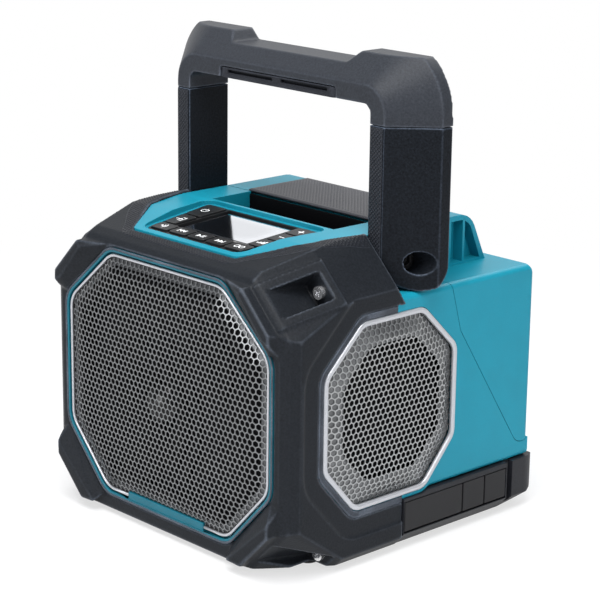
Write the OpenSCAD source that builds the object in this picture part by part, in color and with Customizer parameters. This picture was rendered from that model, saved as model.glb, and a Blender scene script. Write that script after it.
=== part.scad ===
// Jobsite bluetooth speaker with a folding carry handle, in millimetres.
// +X is the speaker's right, +Y its back and +Z up.
// The origin is on the floor, under the middle of the speaker's box.

/* [Cabinet] */
// Width over the bumper's side faces
body_w = 229; // [224:1:240]
// Depth from the front trim to the rear face
body_d = 218; // [212:1:230]
// Height of the front grille's centre above the floor
axis_h = 97; // [95:1:100]
// How far the corner guards stand in front of the trim
guard_out = 7.5; // [5:0.5:9]
// How far the base stands behind the rear face
foot_out = 11.5; // [8:0.5:15]
// Wall of the moulded shells
wall = 3; // [2.4:0.2:3.4]
// Thickness of the bumper over the housing's flanks
bumper_t = 5; // [4:0.5:6]
// How far the housing's side faces lie inside the bumper's
side_step = 2; // [1.5:0.5:3]
// Height of the shoulders beside the tower
shoulder_h = 166; // [162:1:168]
// Height of the deck that carries the control panel
deck_h = 179; // [178:0.5:181]
// Height of the tower's rails
rail_h = 198.5; // [197:0.5:201]
// Half the width of the tower between the handle's legs
tower_x = 82; // [79:0.5:82.5]
// Height of the base's upper edge
base_h = 35; // [33:1:37]
// Thickness of the rubber feet
foot_t = 2; // [1:0.5:3]
// Gap between pieces that are seated in each other
fit_gap = 0.2; // [0.1:0.05:0.3]
// Gap between pieces that move past each other
run_gap = 0.4; // [0.3:0.1:0.6]

/* [Front grille] */
// Width of the front opening
front_w = 200; // [190:1:203]
// Height of the front opening
front_h = 167.4; // [160:0.2:168]
// Half the length of the opening's top edge
front_top = 55; // [50:1:60]
// Half the length of the opening's bottom edge
front_bottom = 61; // [55:1:66]
// Corner radius of the opening
front_r = 18; // [10:1:20]
// How far the flat of the grille stands in front of the trim
front_crown = 3; // [2:0.5:4.5]
// Pitch of the holes in the grilles
hole_pitch = 7; // [6.5:0.5:9]
// Diameter of the holes in the grilles
hole_d = 5.2; // [4:0.2:5.8]
// Thickness of the grille sheet
sheet_t = 1.2; // [1:0.1:1.6]

/* [Side grilles] */
// Length of the side opening
side_l = 116; // [110:1:118]
// Height of the side opening
side_h = 120; // [114:1:122]
// Half the length of the side opening's top edge
side_top = 27; // [24:1:30]
// Half the length of the side opening's bottom edge
side_bottom = 31.5; // [28:0.5:34]
// Distance from the trim to the middle of the side opening
side_y = 87.3; // [86:0.1:89]
// Radius of the round open part of the side grille
side_open_r = 45.5; // [42:0.5:48]
// Width of the silver rings
ring_w = 4.5; // [3.5:0.5:5.5]

/* [Handle] */
// Distance from the trim to the handle's pivot
pivot_in = 109; // [108:0.5:111]
// Height of the handle above its pivot
handle_h = 124; // [120:1:130]
// Width of a leg across the speaker
leg_w = 37; // [34:1:40]
// Depth of a leg from front to back
leg_d = 34; // [32:1:34]
// Gap between the tower and a leg
leg_gap = 2; // [1.5:0.1:2.5]
// Width of the leg's front face inside its chamfer
leg_face = 12; // [10:1:14]
// Height of the handle's bar at its shoulders
bar_h = 28.5; // [26:0.5:31]
// Depth of the hollow in the top of the bar
bar_dip = 7; // [5:0.5:8]
// Radius inside the bend of the handle
bend_r = 6; // [4:1:8]
// Diameter of the pivot bolts
pivot_d = 8; // [6:0.5:9]
// Radial clearance of turning fits
turn_gap = 0.05; // [0.03:0.01:0.08]

/* [Control panel] */
// Distance from the trim to the panel's front edge
panel_in = 15.5; // [14.5:0.5:17]
// Tilt of the key field
panel_tilt = 4; // [3:0.5:4.5]
// Travel of the keys
key_travel = 1; // [0.6:0.1:1.2]
// How far the keys stand proud of their mat
key_proud = 1.2; // [1.2:0.1:1.6]
// Thickness of the key mat
mat_t = 3; // [2.5:0.1:3.5]
// Distance from the trim to the slot that holds a phone
slot_in = 89; // [88:0.5:90]
// Distance from the trim to the rear cover's front edge
cover_in = 124; // [123:0.5:125]
// Half the length of the phone slot
slot_x = 57.5; // [54:0.5:60]
// Depth of the phone slot below the rails
slot_depth = 25; // [20:0.5:27]

/* [Rear cover] */
// Radius of the cover's hinge barrel
barrel_r = 10; // [9:0.5:11]
// Height of the cover's hinge above the base
hinge_up = 21; // [20:0.5:23]
// Diameter of the hinge pins
pin_d = 5; // [4:0.5:6]
// Half the length of the rubber pad on the cover
pad_x = 60; // [56:1:63]
// Thickness of the rubber pad
pad_t = 2.4; // [2.2:0.1:2.8]

/* [Drivers] */
// Diameter of the woofer's flange
woofer_d = 110; // [104:1:112]
// Diameter of the woofer's cone
woofer_cone_d = 78; // [74:1:80]
// Diameter of the tweeter's flange
tweeter_d = 42; // [38:1:43]
// Diameter of the side radiators' flange
radiator_d = 112; // [108:1:114]
// Diameter of the side radiators' cone
radiator_cone_d = 72; // [68:1:74]
// Stroke of the cones each way
stroke = 2.5; // [1:0.5:3]

/* [Hidden] */
$fn = 64;

// Places along the depth
front_y = guard_out - (guard_out + body_d + foot_out) / 2;
rear_y = front_y + body_d;
lip_y = front_y + 9.5;
bumper_y = front_y + 91;
seam_y = front_y + 99;
panel_y = front_y + panel_in;
slot_y = front_y + slot_in;
cover_y = front_y + cover_in;
pivot_y = front_y + pivot_in;
ring_y = front_y + side_y;

// Places across the width and up the height
half_w = body_w / 2;
side_x = half_w - side_step;
core_x = half_w - bumper_t;
leg_x = tower_x + leg_gap;
pivot_z = shoulder_h + leg_d / 2 + 1;
handle_top = pivot_z + handle_h;
bar_under = handle_top - bar_h;
joint_z = bar_under - 12;
hinge = [rear_y - 6, base_h + hinge_up];
tray_z = rail_h - slot_depth;
beyond = 400;

// Outline helpers: all outlines run anticlockwise
function unit(v) = v / norm(v);
function turn(v) = [-v[1], v[0]];
function crossed(a, b) = a[0] * b[1] - a[1] * b[0];
function meet(p, u, q, v) = p + u * crossed(q - p, v) / crossed(u, v);
function before(pts, i) = pts[(i + len(pts) - 1) % len(pts)];
function after(pts, i) = pts[(i + 1) % len(pts)];
function mirrored(pts) = concat(pts, [for (i = [len(pts) - 1 : -1 : 0]) [-pts[i][0], pts[i][1]]]);

// Outline moved inwards by d, edge by edge
function inset(pts, d) = [for (i = [0 : len(pts) - 1])
    let (u = unit(pts[i] - before(pts, i)), v = unit(after(pts, i) - pts[i]))
    meet(pts[i] + d * turn(u), u, pts[i] + d * turn(v), v)];

// Arc of radius r in place of the corner at p, between the neighbours a and b
function corner(a, p, b, r, steps = 5) = let (u = unit(a - p), v = unit(b - p), half = acos(u * v) / 2,
        mid = p + unit(u + v) * r / sin(half), first = p + u * r / tan(half) - mid,
        start = atan2(first[1], first[0]))
    [for (k = [0 : steps]) mid + r * [cos(start + k / steps * (180 - 2 * half)),
        sin(start + k / steps * (180 - 2 * half))]];

// Outline with each corner replaced by such an arc
function rounded(pts, r) = [for (i = [0 : len(pts) - 1])
    each corner(before(pts, i), pts[i], after(pts, i), r)];

function box_outline(w, l) = [[w / 2, -l / 2], [w / 2, l / 2], [-w / 2, l / 2], [-w / 2, -l / 2]];

// Eight-sided section: half width, top and bottom from the axis, and where the bevels
// would meet the axes above and below
function section(w, top, bottom, up, down) = [for (p = mirrored([[down - bottom, -bottom], [w, w - down],
    [w, up - w], [up - top, top]])) p + [0, axis_h]];

// Extrusions of outlines drawn from the front, from the right side and from above
module from_front(y0, y1) translate([0, y1, 0]) rotate([90, 0, 0]) linear_extrude(y1 - y0) children();
module from_side(x0, x1) translate([x0, 0, 0]) rotate([90, 0, 90]) linear_extrude(x1 - x0) children();
module from_above(z0, z1) translate([0, 0, z0]) linear_extrude(z1 - z0) children();
module both() {
    children();
    mirror([1, 0, 0]) children();
}
module left() mirror([1, 0, 0]) children();

// Turns local +Z into -Y at a place on the front, and into +X at a place on the side
module facing_front(x, y, z) translate([x, y, z]) rotate([90, 0, 0]) children();
module facing_right(x, y, z) translate([x, y, z]) rotate([0, 90, 0]) children();

// Front opening, side opening and control panel outlines
front_bevel_up = 38.8;
front_bevel_down = 41.6;
front_oct = [for (p = mirrored([[front_bottom, -front_h / 2], [front_w / 2, front_bevel_down - front_h / 2],
    [front_w / 2, front_h / 2 - front_bevel_up], [front_top, front_h / 2]])) p + [0, axis_h]];
side_bevel = 30;
side_oct = [for (p = mirrored([[side_bottom, -side_h / 2], [side_l / 2, side_bevel - side_h / 2],
    [side_l / 2, side_h / 2 - side_bevel], [side_top, side_h / 2]])) p + [ring_y, axis_h - 1]];
side_r = 12;
function front_outline(d) = rounded(inset(front_oct, d), max(front_r - d / 2, 2));
function side_outline(d) = rounded(inset(side_oct, d), max(side_r - d / 2, 2));

// Housing

block_section = rounded(mirrored([[side_x, base_h], [side_x, shoulder_h]]), 4);
ring_border = 2.2;
ring_gap = 2.3;
drum_l = 20;
hinge_lug = [58, 66];
lug_r = 6;
bay_x = 41;
bay_y = cover_y + 23;
bay_floor = hinge[1] + barrel_r + 1;
bay_top = shoulder_h - 6;
boss_y = front_y + 44;
boss_l = 14;
boss_r = 5.5;
pivot_r = 11;
pivot_l = 14;
screw_d = 4;
// Sum of width and height on the bumper's upper and lower bevels
bevel_up = half_w + 72.5;
bevel_down = half_w + 88.5;
housing_section = section(core_x, deck_h - axis_h, axis_h - 8, bevel_up - 30, bevel_down - 38);
boss_root = bevel_up / sqrt(2) - 27;
// Angle, distance from the axis and place along the bevel of each corner screw
upper_screw = [45, bevel_up / sqrt(2) - 8.2, (half_w - 94.7) / sqrt(2)];
lower_screw = [135, bevel_down / sqrt(2) - 10.5, (101.8 - half_w) / sqrt(2)];

// Turns local +Z to a bevel's outward direction, with local X along the bevel
module on_bevel(angle) translate([0, 0, axis_h]) rotate([0, angle, 0]) children();

module screw_boss(screw, grow) on_bevel(screw[0]) translate([screw[2], 0, 0]) {
    from_front(boss_y - grow, boss_y + boss_l + grow) translate([0, screw[1]]) circle(boss_r + grow);
    translate([-boss_r - grow, boss_y - grow, boss_root])
        cube([2 * (boss_r + grow), boss_l + 2 * grow, screw[1] - boss_root]);
}

// Outer body of the housing, grown by a gap where another piece clears it
module housing_body(grow) {
    from_front(lip_y - grow, bumper_y + 1) polygon(inset(housing_section, -grow));
    from_front(bumper_y - grow, rear_y) polygon(inset(block_section, -grow));
    from_front(bumper_y - grow, cover_y + wall * 8) translate([-tower_x, shoulder_h - 1])
        square([2 * tower_x, deck_h - shoulder_h + 1]);
    both() {
        from_side(core_x - drum_l, side_x + grow) polygon(side_outline(-ring_border - grow));
        screw_boss(upper_screw, grow);
        screw_boss(lower_screw, grow);
    }
}

// Rear cover's side view: the front edge runs down the parting line to the hinge barrel
parting = [[cover_y, rail_h], [cover_y + 15, shoulder_h], [cover_y + 24.5, shoulder_h - 32]];
to_barrel = parting[2] - hinge;
tangent_a = atan2(to_barrel[1], to_barrel[0]) + acos(barrel_r / norm(to_barrel));
barrel_end = 360 - acos((rear_y - hinge[0]) / barrel_r);
barrel_arc = [for (k = [0 : 8]) let (a = tangent_a + k / 8 * (barrel_end - tangent_a))
    hinge + barrel_r * [cos(a), sin(a)]];
cover_back = [[rear_y, shoulder_h - 9], [rear_y - 5, shoulder_h]];
hump_y = cover_y + 64;
hump_foot = hump_y + 15.2;
hump_r = 16;
cover_side = concat([parting[1], parting[2]], barrel_arc, cover_back);
cover_middle = concat(parting, barrel_arc, cover_back, [[hump_foot, shoulder_h]],
    corner([hump_foot, shoulder_h], [hump_y, rail_h], parting[0], hump_r));

module cover_clearance() {
    from_side(-beyond, beyond) polygon(inset(cover_side, -run_gap));
    from_side(-tower_x - run_gap, tower_x + run_gap) polygon(inset(cover_middle, -run_gap));
    from_side(-beyond, beyond) translate([rear_y - 20, shoulder_h - 20]) square([beyond, beyond]);
}

pin_over = 9;

module hinge_bore() translate([hinge_lug[0] - pin_over - 0.5, hinge[0], hinge[1]]) rotate([0, 90, 0])
    cylinder(h = hinge_lug[1] - hinge_lug[0] + 2 * pin_over + 1, d = pin_d + 2 * turn_gap);

module main_housing() color("teal") difference() {
    union() {
        difference() {
            housing_body(0);
            cover_clearance();
            // Speaker chamber, with the battery bay's walls left standing
            from_front(lip_y - 1, bumper_y + 1) polygon(inset(housing_section, wall));
            difference() {
                from_side(wall - core_x, core_x - wall) polygon([[bumper_y - 1, base_h + wall],
                    [hinge[0] - barrel_r - 12, base_h + wall], [cover_y + 20, shoulder_h - 36],
                    [cover_y + 12, shoulder_h - wall], [bumper_y - 1, shoulder_h - wall]]);
                from_side(-bay_x - wall, bay_x + wall)
                    translate([bay_y - wall, 0]) square([beyond, beyond]);
            }
            both() from_side(core_x - drum_l - 1, core_x - wall) polygon(side_outline(wall - ring_border));
            from_side(wall - tower_x, tower_x - wall) translate([bumper_y - 1, shoulder_h - 2 * wall])
                square([cover_y - bumper_y - 2, tray_z - wall - shoulder_h + wall]);
        }
        // Hinge lugs, pivot faces and board posts
        both() {
            from_side(hinge_lug[0], hinge_lug[1]) {
                translate(hinge) circle(lug_r);
                translate([hinge[0] - lug_r, base_h + 2]) square([2 * lug_r, hinge_up - 2]);
            }
            from_side(tower_x - pivot_l, tower_x) {
                translate([pivot_y, pivot_z]) circle(pivot_r);
                translate([pivot_y - pivot_r, shoulder_h]) square([2 * pivot_r, pivot_z - shoulder_h]);
            }
            facing_right(tower_x - 1, pivot_y, pivot_z) cylinder(h = 1 + leg_gap - 0.3, r = pivot_r);
            for (z = [70, 140]) facing_front(40, bay_y - wall, z) cylinder(h = 12, r = 3.5);
        }
    }
    // Seats and openings of the side grilles
    both() {
        from_side(side_x - 3.2, beyond) polygon(side_outline(-fit_gap));
        from_side(core_x - wall - 2, beyond) polygon(side_outline(6));
        on_bevel(upper_screw[0]) screw_bore(upper_screw);
        on_bevel(lower_screw[0]) screw_bore(lower_screw);
        facing_right(0, pivot_y, pivot_z) cylinder(h = beyond, d = pivot_d + 2 * turn_gap);
        hinge_bore();
    }
    // Battery bay and the phone slot's well in the deck
    from_side(-bay_x, bay_x) translate([bay_y, bay_floor]) square([beyond, bay_top - bay_floor]);
    from_above(tray_z, beyond) translate([-slot_x - fit_gap, slot_y - fit_gap])
        square([2 * (slot_x + fit_gap), cover_y - slot_y]);
}

module screw_bore(screw) translate([screw[2], boss_y - 1, screw[1]]) rotate([-90, 0, 0])
    cylinder(h = boss_l, d = screw_d + 2 * turn_gap);

// Base: a hollow tray whose rear runs out into a bar behind the speaker

flap_depth = 4.1;
flap_drop = 4.5;
flap_z = [10.5, axis_h - 1 - side_h / 2 - flap_drop];
flap_ends = [[seam_y + 1, seam_y + 54], [seam_y + 55, seam_y + 75], [seam_y + 76, seam_y + 96]];
hinge_r = 1.8;
socket_z = (flap_z[0] + flap_z[1]) / 2 + 1;
aux_y = seam_y + 27;
usb_y = seam_y + 65;
dc_y = seam_y + 86;
socket_back = 14;

module base_body() intersection() {
    from_front(seam_y, rear_y + foot_out) polygon(mirrored([[half_w - 7.5, foot_t], [half_w, foot_t + 8],
        [half_w, base_h - fit_gap]]));
    from_side(-half_w, half_w) polygon([[seam_y, foot_t], [rear_y - 22, foot_t],
        [rear_y + foot_out, foot_t + 12],
        [rear_y + foot_out, base_h - 6], [rear_y + foot_out - 6, base_h - fit_gap],
            [seam_y, base_h - fit_gap]]);
    from_above(0, base_h) polygon(concat(
        [[half_w, seam_y], for (a = [0 : 15 : 90])
            [half_w - 16, rear_y + foot_out - 16] + 16 * [cos(a), sin(a)]],
        [for (a = [90 : 15 : 180]) [16 - half_w, rear_y + foot_out - 16] + 16 * [cos(a), sin(a)],
            [-half_w, seam_y]]));
}

module base_tray() color("dimgray") difference() {
    base_body();
    from_above(foot_t + wall, beyond) translate([flap_depth + wall - half_w, seam_y + wall])
        square([body_w - 2 * (flap_depth + wall), rear_y - 24 - seam_y - wall]);
    // Recess of the flaps, with a round channel at their hinge
    from_side(half_w - flap_depth, beyond) translate([flap_ends[0][0] - 0.5, flap_z[0]])
        square([flap_ends[2][1] - flap_ends[0][0] + 1, flap_z[1] - flap_z[0]]);
    both() from_side(core_x - drum_l - fit_gap, beyond) polygon(side_outline(-ring_border - fit_gap));
    // Gap in front of the rear bar on each side
    both() from_side(half_w - 4, beyond) translate([seam_y + 97.5, foot_t + 5]) square([5, beyond]);
    translate([half_w - socket_back, 0, socket_z]) {
        translate([0, aux_y, 0]) rotate([0, 90, 0]) cylinder(h = socket_back, d = 9 + 2 * fit_gap);
        translate([0, dc_y, 0]) rotate([0, 90, 0]) cylinder(h = socket_back, d = 12 + 2 * fit_gap);
        translate([0, usb_y - 7.5 - fit_gap, -4 - fit_gap])
            cube([socket_back, 15 + 2 * fit_gap, 8 + 2 * fit_gap]);
    }
}

module feet() color("black") both() for (y = [front_y + 45, rear_y - 40])
    translate([half_w - 34, y, 0]) linear_extrude(foot_t) polygon(rounded(box_outline(24, 16), 6));

// Flaps: rubber covers that turn on their rounded lower edge
module flap(ends) color("dimgray") translate([0, ends[1], 0]) rotate([90, 0, 0])
    linear_extrude(ends[1] - ends[0]) {
    translate([half_w - hinge_r, flap_z[0] + hinge_r + run_gap]) circle(hinge_r);
    translate([half_w - 2 * hinge_r, flap_z[0] + hinge_r + run_gap])
        square([2 * hinge_r, flap_z[1] - flap_z[0] - hinge_r - 2 * run_gap]);
}

// Sockets behind the flaps
module aux_socket() color("silver") facing_right(half_w - flap_depth - 12, aux_y, socket_z) difference() {
    union() {
        cylinder(h = 12, d = 9);
        translate([-6, -6, 0]) cube([12, 12, 3]);
    }
    translate([0, 0, 2]) cylinder(h = 12, d = 3.6);
}

module usb_socket() color("silver") translate([half_w - flap_depth - 12, usb_y, socket_z]) difference() {
    translate([0, -7.5, -4]) cube([12, 15, 8]);
    difference() {
        translate([2, -6.3, -2.6]) cube([12, 12.6, 5.2]);
        translate([0, -5.5, 0.4]) cube([10, 11, 1.6]);
    }
}

module dc_socket() color("black") facing_right(half_w - flap_depth - 12, dc_y, socket_z) {
    difference() {
        cylinder(h = 12, d = 12);
        translate([0, 0, 2]) cylinder(h = 12, d = 6.5);
    }
    cylinder(h = 10, d = 2.1);
}

// Bumper: a lofted front with four guards, open over the grilles and the control panel

// Top of the bumper above the axis, a little higher than the control panel that it guards
rim_h = rail_h - axis_h + 2.1;
// Distance behind the trim, half width, top, bottom and the two bevels of each lofted section
bumper_loft = [[0, half_w - 9.5, 85, 93, half_w + 49.5, half_w + 54.5],
    [3.2, half_w - 3.9, 88.6, 94.4, half_w + 53.6, half_w + 59.2],
    [9, half_w, 92, axis_h - foot_t, half_w + 56.5, half_w + 62.5],
    [45, half_w, rim_h - 2.4, axis_h - foot_t, bevel_up, bevel_down],
    [65, half_w, rim_h - 0.6, axis_h - foot_t, bevel_up + 0.4, bevel_down],
    [seam_y - front_y - run_gap, half_w, rim_h, axis_h - foot_t, bevel_up + 1, bevel_down]];
upper_guard = [[56, 85], [half_w - 18.5, 45], [half_w - 9.5, 46], [half_w - 9.5, 59], [79, 85]];
upper_edge = [[76, 81], [half_w - 17.5, 57], [half_w - 11.5, 54], [half_w - 12, 61], [79.5, 84.5]];
lower_guard = [[62, -84], [76, -93], [half_w - 9.5, -64], [half_w - 9.5, -48], [half_w - 15.5, -44]];
lower_edge = [[66, -89.5], [79, -90], [half_w - 11.8, -66], [half_w - 11.5, -57], [half_w - 17.5, -62]];
pocket_half = 9.8;
frame_half = 16.2;
frame_up = 1;
pocket_l = 40;
upper_pocket = [upper_screw[2] - 0.6, upper_screw[1] - 3, upper_screw[1] - 8];
lower_pocket = [lower_screw[2], lower_screw[1] - 12, lower_screw[1] - 5.5];

module at_axis() translate([0, axis_h]) children();

module guard(foot, edge) hull() {
    from_front(front_y + 0.5, front_y + 1.5) at_axis() polygon(foot);
    from_front(front_y - guard_out, front_y - guard_out + 0.5) at_axis() polygon(edge);
}

// Hull of the sections, with its upper bevels raised by a distance
module lofted(raise) hull() for (s = bumper_loft)
    from_front(front_y + s[0], front_y + s[0] + 0.4)
        polygon(section(s[1], s[2], s[3], s[4] + raise * sqrt(2), s[5]));

// Raised frame that runs back from the upper guard round its pocket
module pocket_frame() intersection() {
    lofted(frame_up);
    on_bevel(upper_screw[0]) from_above(boss_root, beyond)
        translate([upper_pocket[0] - frame_half, front_y + 0.5]) square([2 * frame_half, pocket_l + 5]);
}

module pocket(screw, place) on_bevel(screw[0]) {
    from_side(place[0] - pocket_half, place[0] + pocket_half) polygon([[front_y + 1, place[1]],
        [front_y + pocket_l, place[2]], [front_y + pocket_l, beyond], [front_y + 1, beyond]]);
    translate([screw[2], front_y + pocket_l - 1, screw[1]]) rotate([-90, 0, 0])
        cylinder(h = 8, d = screw_d + 0.6);
}

// Outline of the control panel, which its rear end cuts off
panel_r = 6;
panel_plan = mirrored([[49, panel_y], [73, panel_y + 34.5], [tower_x, panel_y + 69.5],
    [tower_x, cover_y + 4 * panel_r]]);

module front_bumper() color("dimgray") difference() {
    union() {
        intersection() {
            lofted(0);
            // Rear edge: in front of the legs above, further back beside the rings
            from_side(-beyond, beyond) polygon([[front_y - 1, 0], [seam_y - run_gap, 0],
                [seam_y - run_gap, axis_h + 62],
                [bumper_y - run_gap, axis_h + 74], [bumper_y - run_gap, beyond], [front_y - 1, beyond]]);
        }
        both() {
            guard(upper_guard, upper_edge);
            guard(lower_guard, lower_edge);
            pocket_frame();
        }
    }
    housing_body(fit_gap);
    from_front(-beyond, beyond) polygon(front_outline(-fit_gap));
    from_above(deck_h - 0.1, beyond) polygon(rounded(inset(panel_plan, -fit_gap), panel_r));
    both() {
        pocket(upper_screw, upper_pocket);
        pocket(lower_screw, lower_pocket);
        from_side(core_x - 1, beyond) polygon(side_outline(-ring_border - ring_gap));
        // Shallow dish round the side ring
        from_side(half_w - 1.2, beyond) polygon(rounded(inset(side_oct, -17), 24));
    }
}

module bumper_screws() color("silver") both() for (screw = [upper_screw, lower_screw])
    on_bevel(screw[0]) translate([screw[2], front_y + pocket_l, screw[1]]) rotate([90, 0, 0]) difference() {
        union() {
            cylinder(h = 2.8, d = 8);
            translate([0, 0, -15]) cylinder(h = 15.5, d = screw_d);
        }
        for (a = [0, 90]) rotate([0, 0, a]) translate([-2.4, -0.6, 1.3]) cube([4.8, 1.2, 2]);
    }

// Front trim, ring and grille

trim_lip = 2.6;
tab_x = 37;
flange_y = front_y + 3;

module front_band(y0, y1, outer, inner) difference() {
    from_front(y0, y1) polygon(front_outline(outer));
    from_front(y0 - 1, y1 + 1) polygon(front_outline(inner));
}

module tab_zone(half) from_front(front_y - 2, flange_y) translate([-half, 0])
    square([2 * half, axis_h - front_h / 4]);

module front_trim() color("teal") {
    front_band(front_y - 0.6, lip_y - 0.5, 0, trim_lip);
    front_band(flange_y, flange_y + 2, trim_lip - 0.5, 11);
    intersection() {
        front_band(front_y - 0.4, flange_y + 0.5, trim_lip - 0.5, 7.6);
        tab_zone(tab_x);
    }
}

module front_ring() color("silver") difference() {
    front_band(front_y - 0.2, flange_y, 3.9, 3.9 + ring_w - 1.4);
    tab_zone(tab_x + 0.5);
}

// Centres of a staggered pattern of holes that lie inside a region
function staggered(w, h, p) = [for (j = [-ceil(h / p) : ceil(h / p)], i = [-ceil(w / p) : ceil(w / p)])
    [(i + (j % 2 == 0 ? 0 : 0.5)) * p, j * p * sqrt(3) / 2]];
function inside(pts, p) = min([for (i = [0 : len(pts) - 1])
    crossed(unit(after(pts, i) - pts[i]), p - pts[i])]) > 0;

grille_rim = 8.3;
grille_flat = 20;
front_flat = inset(front_oct, grille_flat);
front_holes = [for (p = staggered(front_w / 2, front_h / 2, hole_pitch))
    if (inside(inset(front_flat, hole_d / 2 + 1), p + [0, axis_h])) p + [0, axis_h]];

module front_dish(inner) hull() {
    from_front(flange_y - 1, flange_y - 0.9) polygon(front_outline(grille_rim + inner));
    from_front(front_y - front_crown + inner, front_y - front_crown + inner + 0.1)
        polygon(front_outline(grille_flat + inner / 2));
}

module front_grille() color("silver") {
    difference() {
        union() {
            front_dish(0);
            from_front(flange_y - 1, flange_y) polygon(front_outline(grille_rim));
        }
        front_dish(sheet_t);
        from_front(flange_y - 1.2, beyond) polygon(front_outline(grille_rim + sheet_t + 0.8));
        from_front(-beyond, beyond) for (p = front_holes) translate(p) circle(d = hole_d);
    }
}

// Side rings and grilles
module side_ring() color("silver") difference() {
    from_side(side_x - 2, side_x + 1) polygon(side_outline(0));
    from_side(-beyond, beyond) polygon(side_outline(ring_w));
}

side_holes = [for (p = staggered(side_open_r, side_open_r, hole_pitch))
    if (norm(p) < side_open_r - hole_d / 2 - 1) p];

module side_dish(inner) hull() {
    from_side(side_x - 2.1, side_x - 2) polygon(side_outline(ring_w + 0.4 + inner));
    facing_right(side_x + 1.2 - inner, ring_y, axis_h - 1)
        cylinder(h = 0.1, r = side_open_r - inner / 2, $fn = 48);
}

module side_grille() color("silver") difference() {
    union() {
        side_dish(0);
        from_side(side_x - 3.2, side_x - 2) polygon(side_outline(1.5));
    }
    side_dish(sheet_t);
    from_side(-beyond, side_x - 2.05) polygon(side_outline(ring_w + 2.4));
    facing_right(0, ring_y, axis_h - 1) for (p = side_holes) translate(p) cylinder(h = beyond, d = hole_d);
}

// Baffle and drivers

woofer_at = [-30, -20];
tweeter_at = [34, 22];
baffle_t = 4;
basket_l = 34;

module front_baffle() color("black") difference() {
    from_front(lip_y, lip_y + baffle_t) polygon(inset(housing_section, wall + fit_gap));
    facing_front(woofer_at[0], beyond, woofer_at[1] + axis_h) cylinder(h = 2 * beyond, d = woofer_d - 12);
    facing_front(tweeter_at[0], beyond, tweeter_at[1] + axis_h) cylinder(h = 2 * beyond, d = tweeter_d - 8);
}

module at_woofer() facing_front(woofer_at[0], lip_y, woofer_at[1] + axis_h) children();
module at_tweeter() facing_front(tweeter_at[0], lip_y, tweeter_at[1] + axis_h) children();

cone_r = woofer_cone_d / 2;
roll_r = (woofer_d / 2 - 8 - cone_r) / 2;
magnet_r = 28;
former_r = 14;

module woofer_frame() color("dimgray") at_woofer() difference() {
    rotate_extrude() polygon([[woofer_d / 2, 0], [woofer_d / 2, 2], [woofer_d / 2 - 9.5, 2],
        [woofer_d / 2 - 9.5, 0.8], [woofer_d / 2 - 8, -4],
        [magnet_r + 4, -basket_l + 2], [magnet_r - 8, -basket_l + 2], [magnet_r - 8, -basket_l],
            [magnet_r + 6, -basket_l],
        [woofer_d / 2 - 6.2, -4], [woofer_d / 2 - 6.2, 0]]);
    for (a = [0 : 60 : 300]) rotate([0, 0, a]) translate([magnet_r + 11, -6, -basket_l + 4])
        cube([12, 12, 22]);
}

module woofer_magnet() color("gray") at_woofer() translate([0, 0, -basket_l - 18])
    cylinder(h = 18, r = magnet_r);

module woofer_surround() color("black") at_woofer() rotate_extrude()
    translate([cone_r + roll_r, 2.2]) difference() {
    circle(roll_r - 0.3);
    circle(roll_r - 1.3);
    translate([-beyond, -2 * beyond]) square(2 * beyond);
}

module woofer_cone() color("dimgray") at_woofer() difference() {
    union() {
        translate([0, 0, -16]) cylinder(h = 17.2, r1 = former_r, r2 = cone_r - 2);
        translate([0, 0, 1]) cylinder(h = 1.8, r = cone_r - 0.5);
        translate([0, 0, -20]) cylinder(h = 4.5, r = former_r);
    }
    translate([0, 0, -14.4]) cylinder(h = 20, r1 = former_r,
        r2 = former_r + 20 * (cone_r - 2 - former_r) / 17.2);
    translate([0, 0, -21]) cylinder(h = 20, r = former_r - 1.5);
}

module dust_cap() color("gray") at_woofer() intersection() {
    translate([0, 0, -24]) difference() {
        sphere(r = 20);
        sphere(r = 19);
    }
    translate([0, 0, -12.7]) cylinder(h = 20, r = 16);
}

module tweeter() color("black") at_tweeter() {
    difference() {
        cylinder(h = 2, d = tweeter_d);
        translate([0, 0, 0.5]) cylinder(h = 5, d1 = 20, d2 = 36);
    }
    translate([0, 0, -16]) cylinder(h = 16.5, d = tweeter_d - 8 - 2 * fit_gap);
    intersection() {
        translate([0, 0, -8]) sphere(r = 12);
        cylinder(h = 10, d = 20);
    }
}

radiator_x = core_x - wall - fit_gap;
radiator_r = radiator_cone_d / 2;

module at_radiator() facing_right(radiator_x, ring_y, axis_h - 1) children();

module radiator_frame() color("black") at_radiator() rotate_extrude() difference() {
    union() {
        translate([radiator_d / 2 - 12, -4]) square([12, 4]);
        translate([radiator_r + 6, -2]) circle(5.5);
    }
    translate([radiator_r + 6, -2]) circle(4.3);
    translate([0, -beyond - 2]) square([radiator_d / 2 - 12, beyond]);
    translate([0, -beyond - 4]) square([beyond, beyond]);
    translate([radiator_d / 2 - 5, 0]) square(beyond);
}

module radiator_cone() color("dimgray") at_radiator() rotate_extrude()
    polygon([[0, -5], [12, -5], [24, -3], [radiator_r, -2], [radiator_r, 0], [24, -1], [12, -3], [0, -3]]);

// Control panel: frame, phone tray, key mat, keys and display

mat_front = [45, 6.5];
mat_rear = [55.5, 69];
mat_plan = mirrored([mat_front, mat_rear]);
mat_r = 6;
mat_ledge = 1.5;
window_r = 3;
key_flange = 0.6;
lens_at = [-33, 22];
lens_size = [66, 45];

// Plane of the key field
module on_panel() translate([0, panel_y, rail_h - 7.8]) rotate([panel_tilt, 0, 0]) children();

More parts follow.
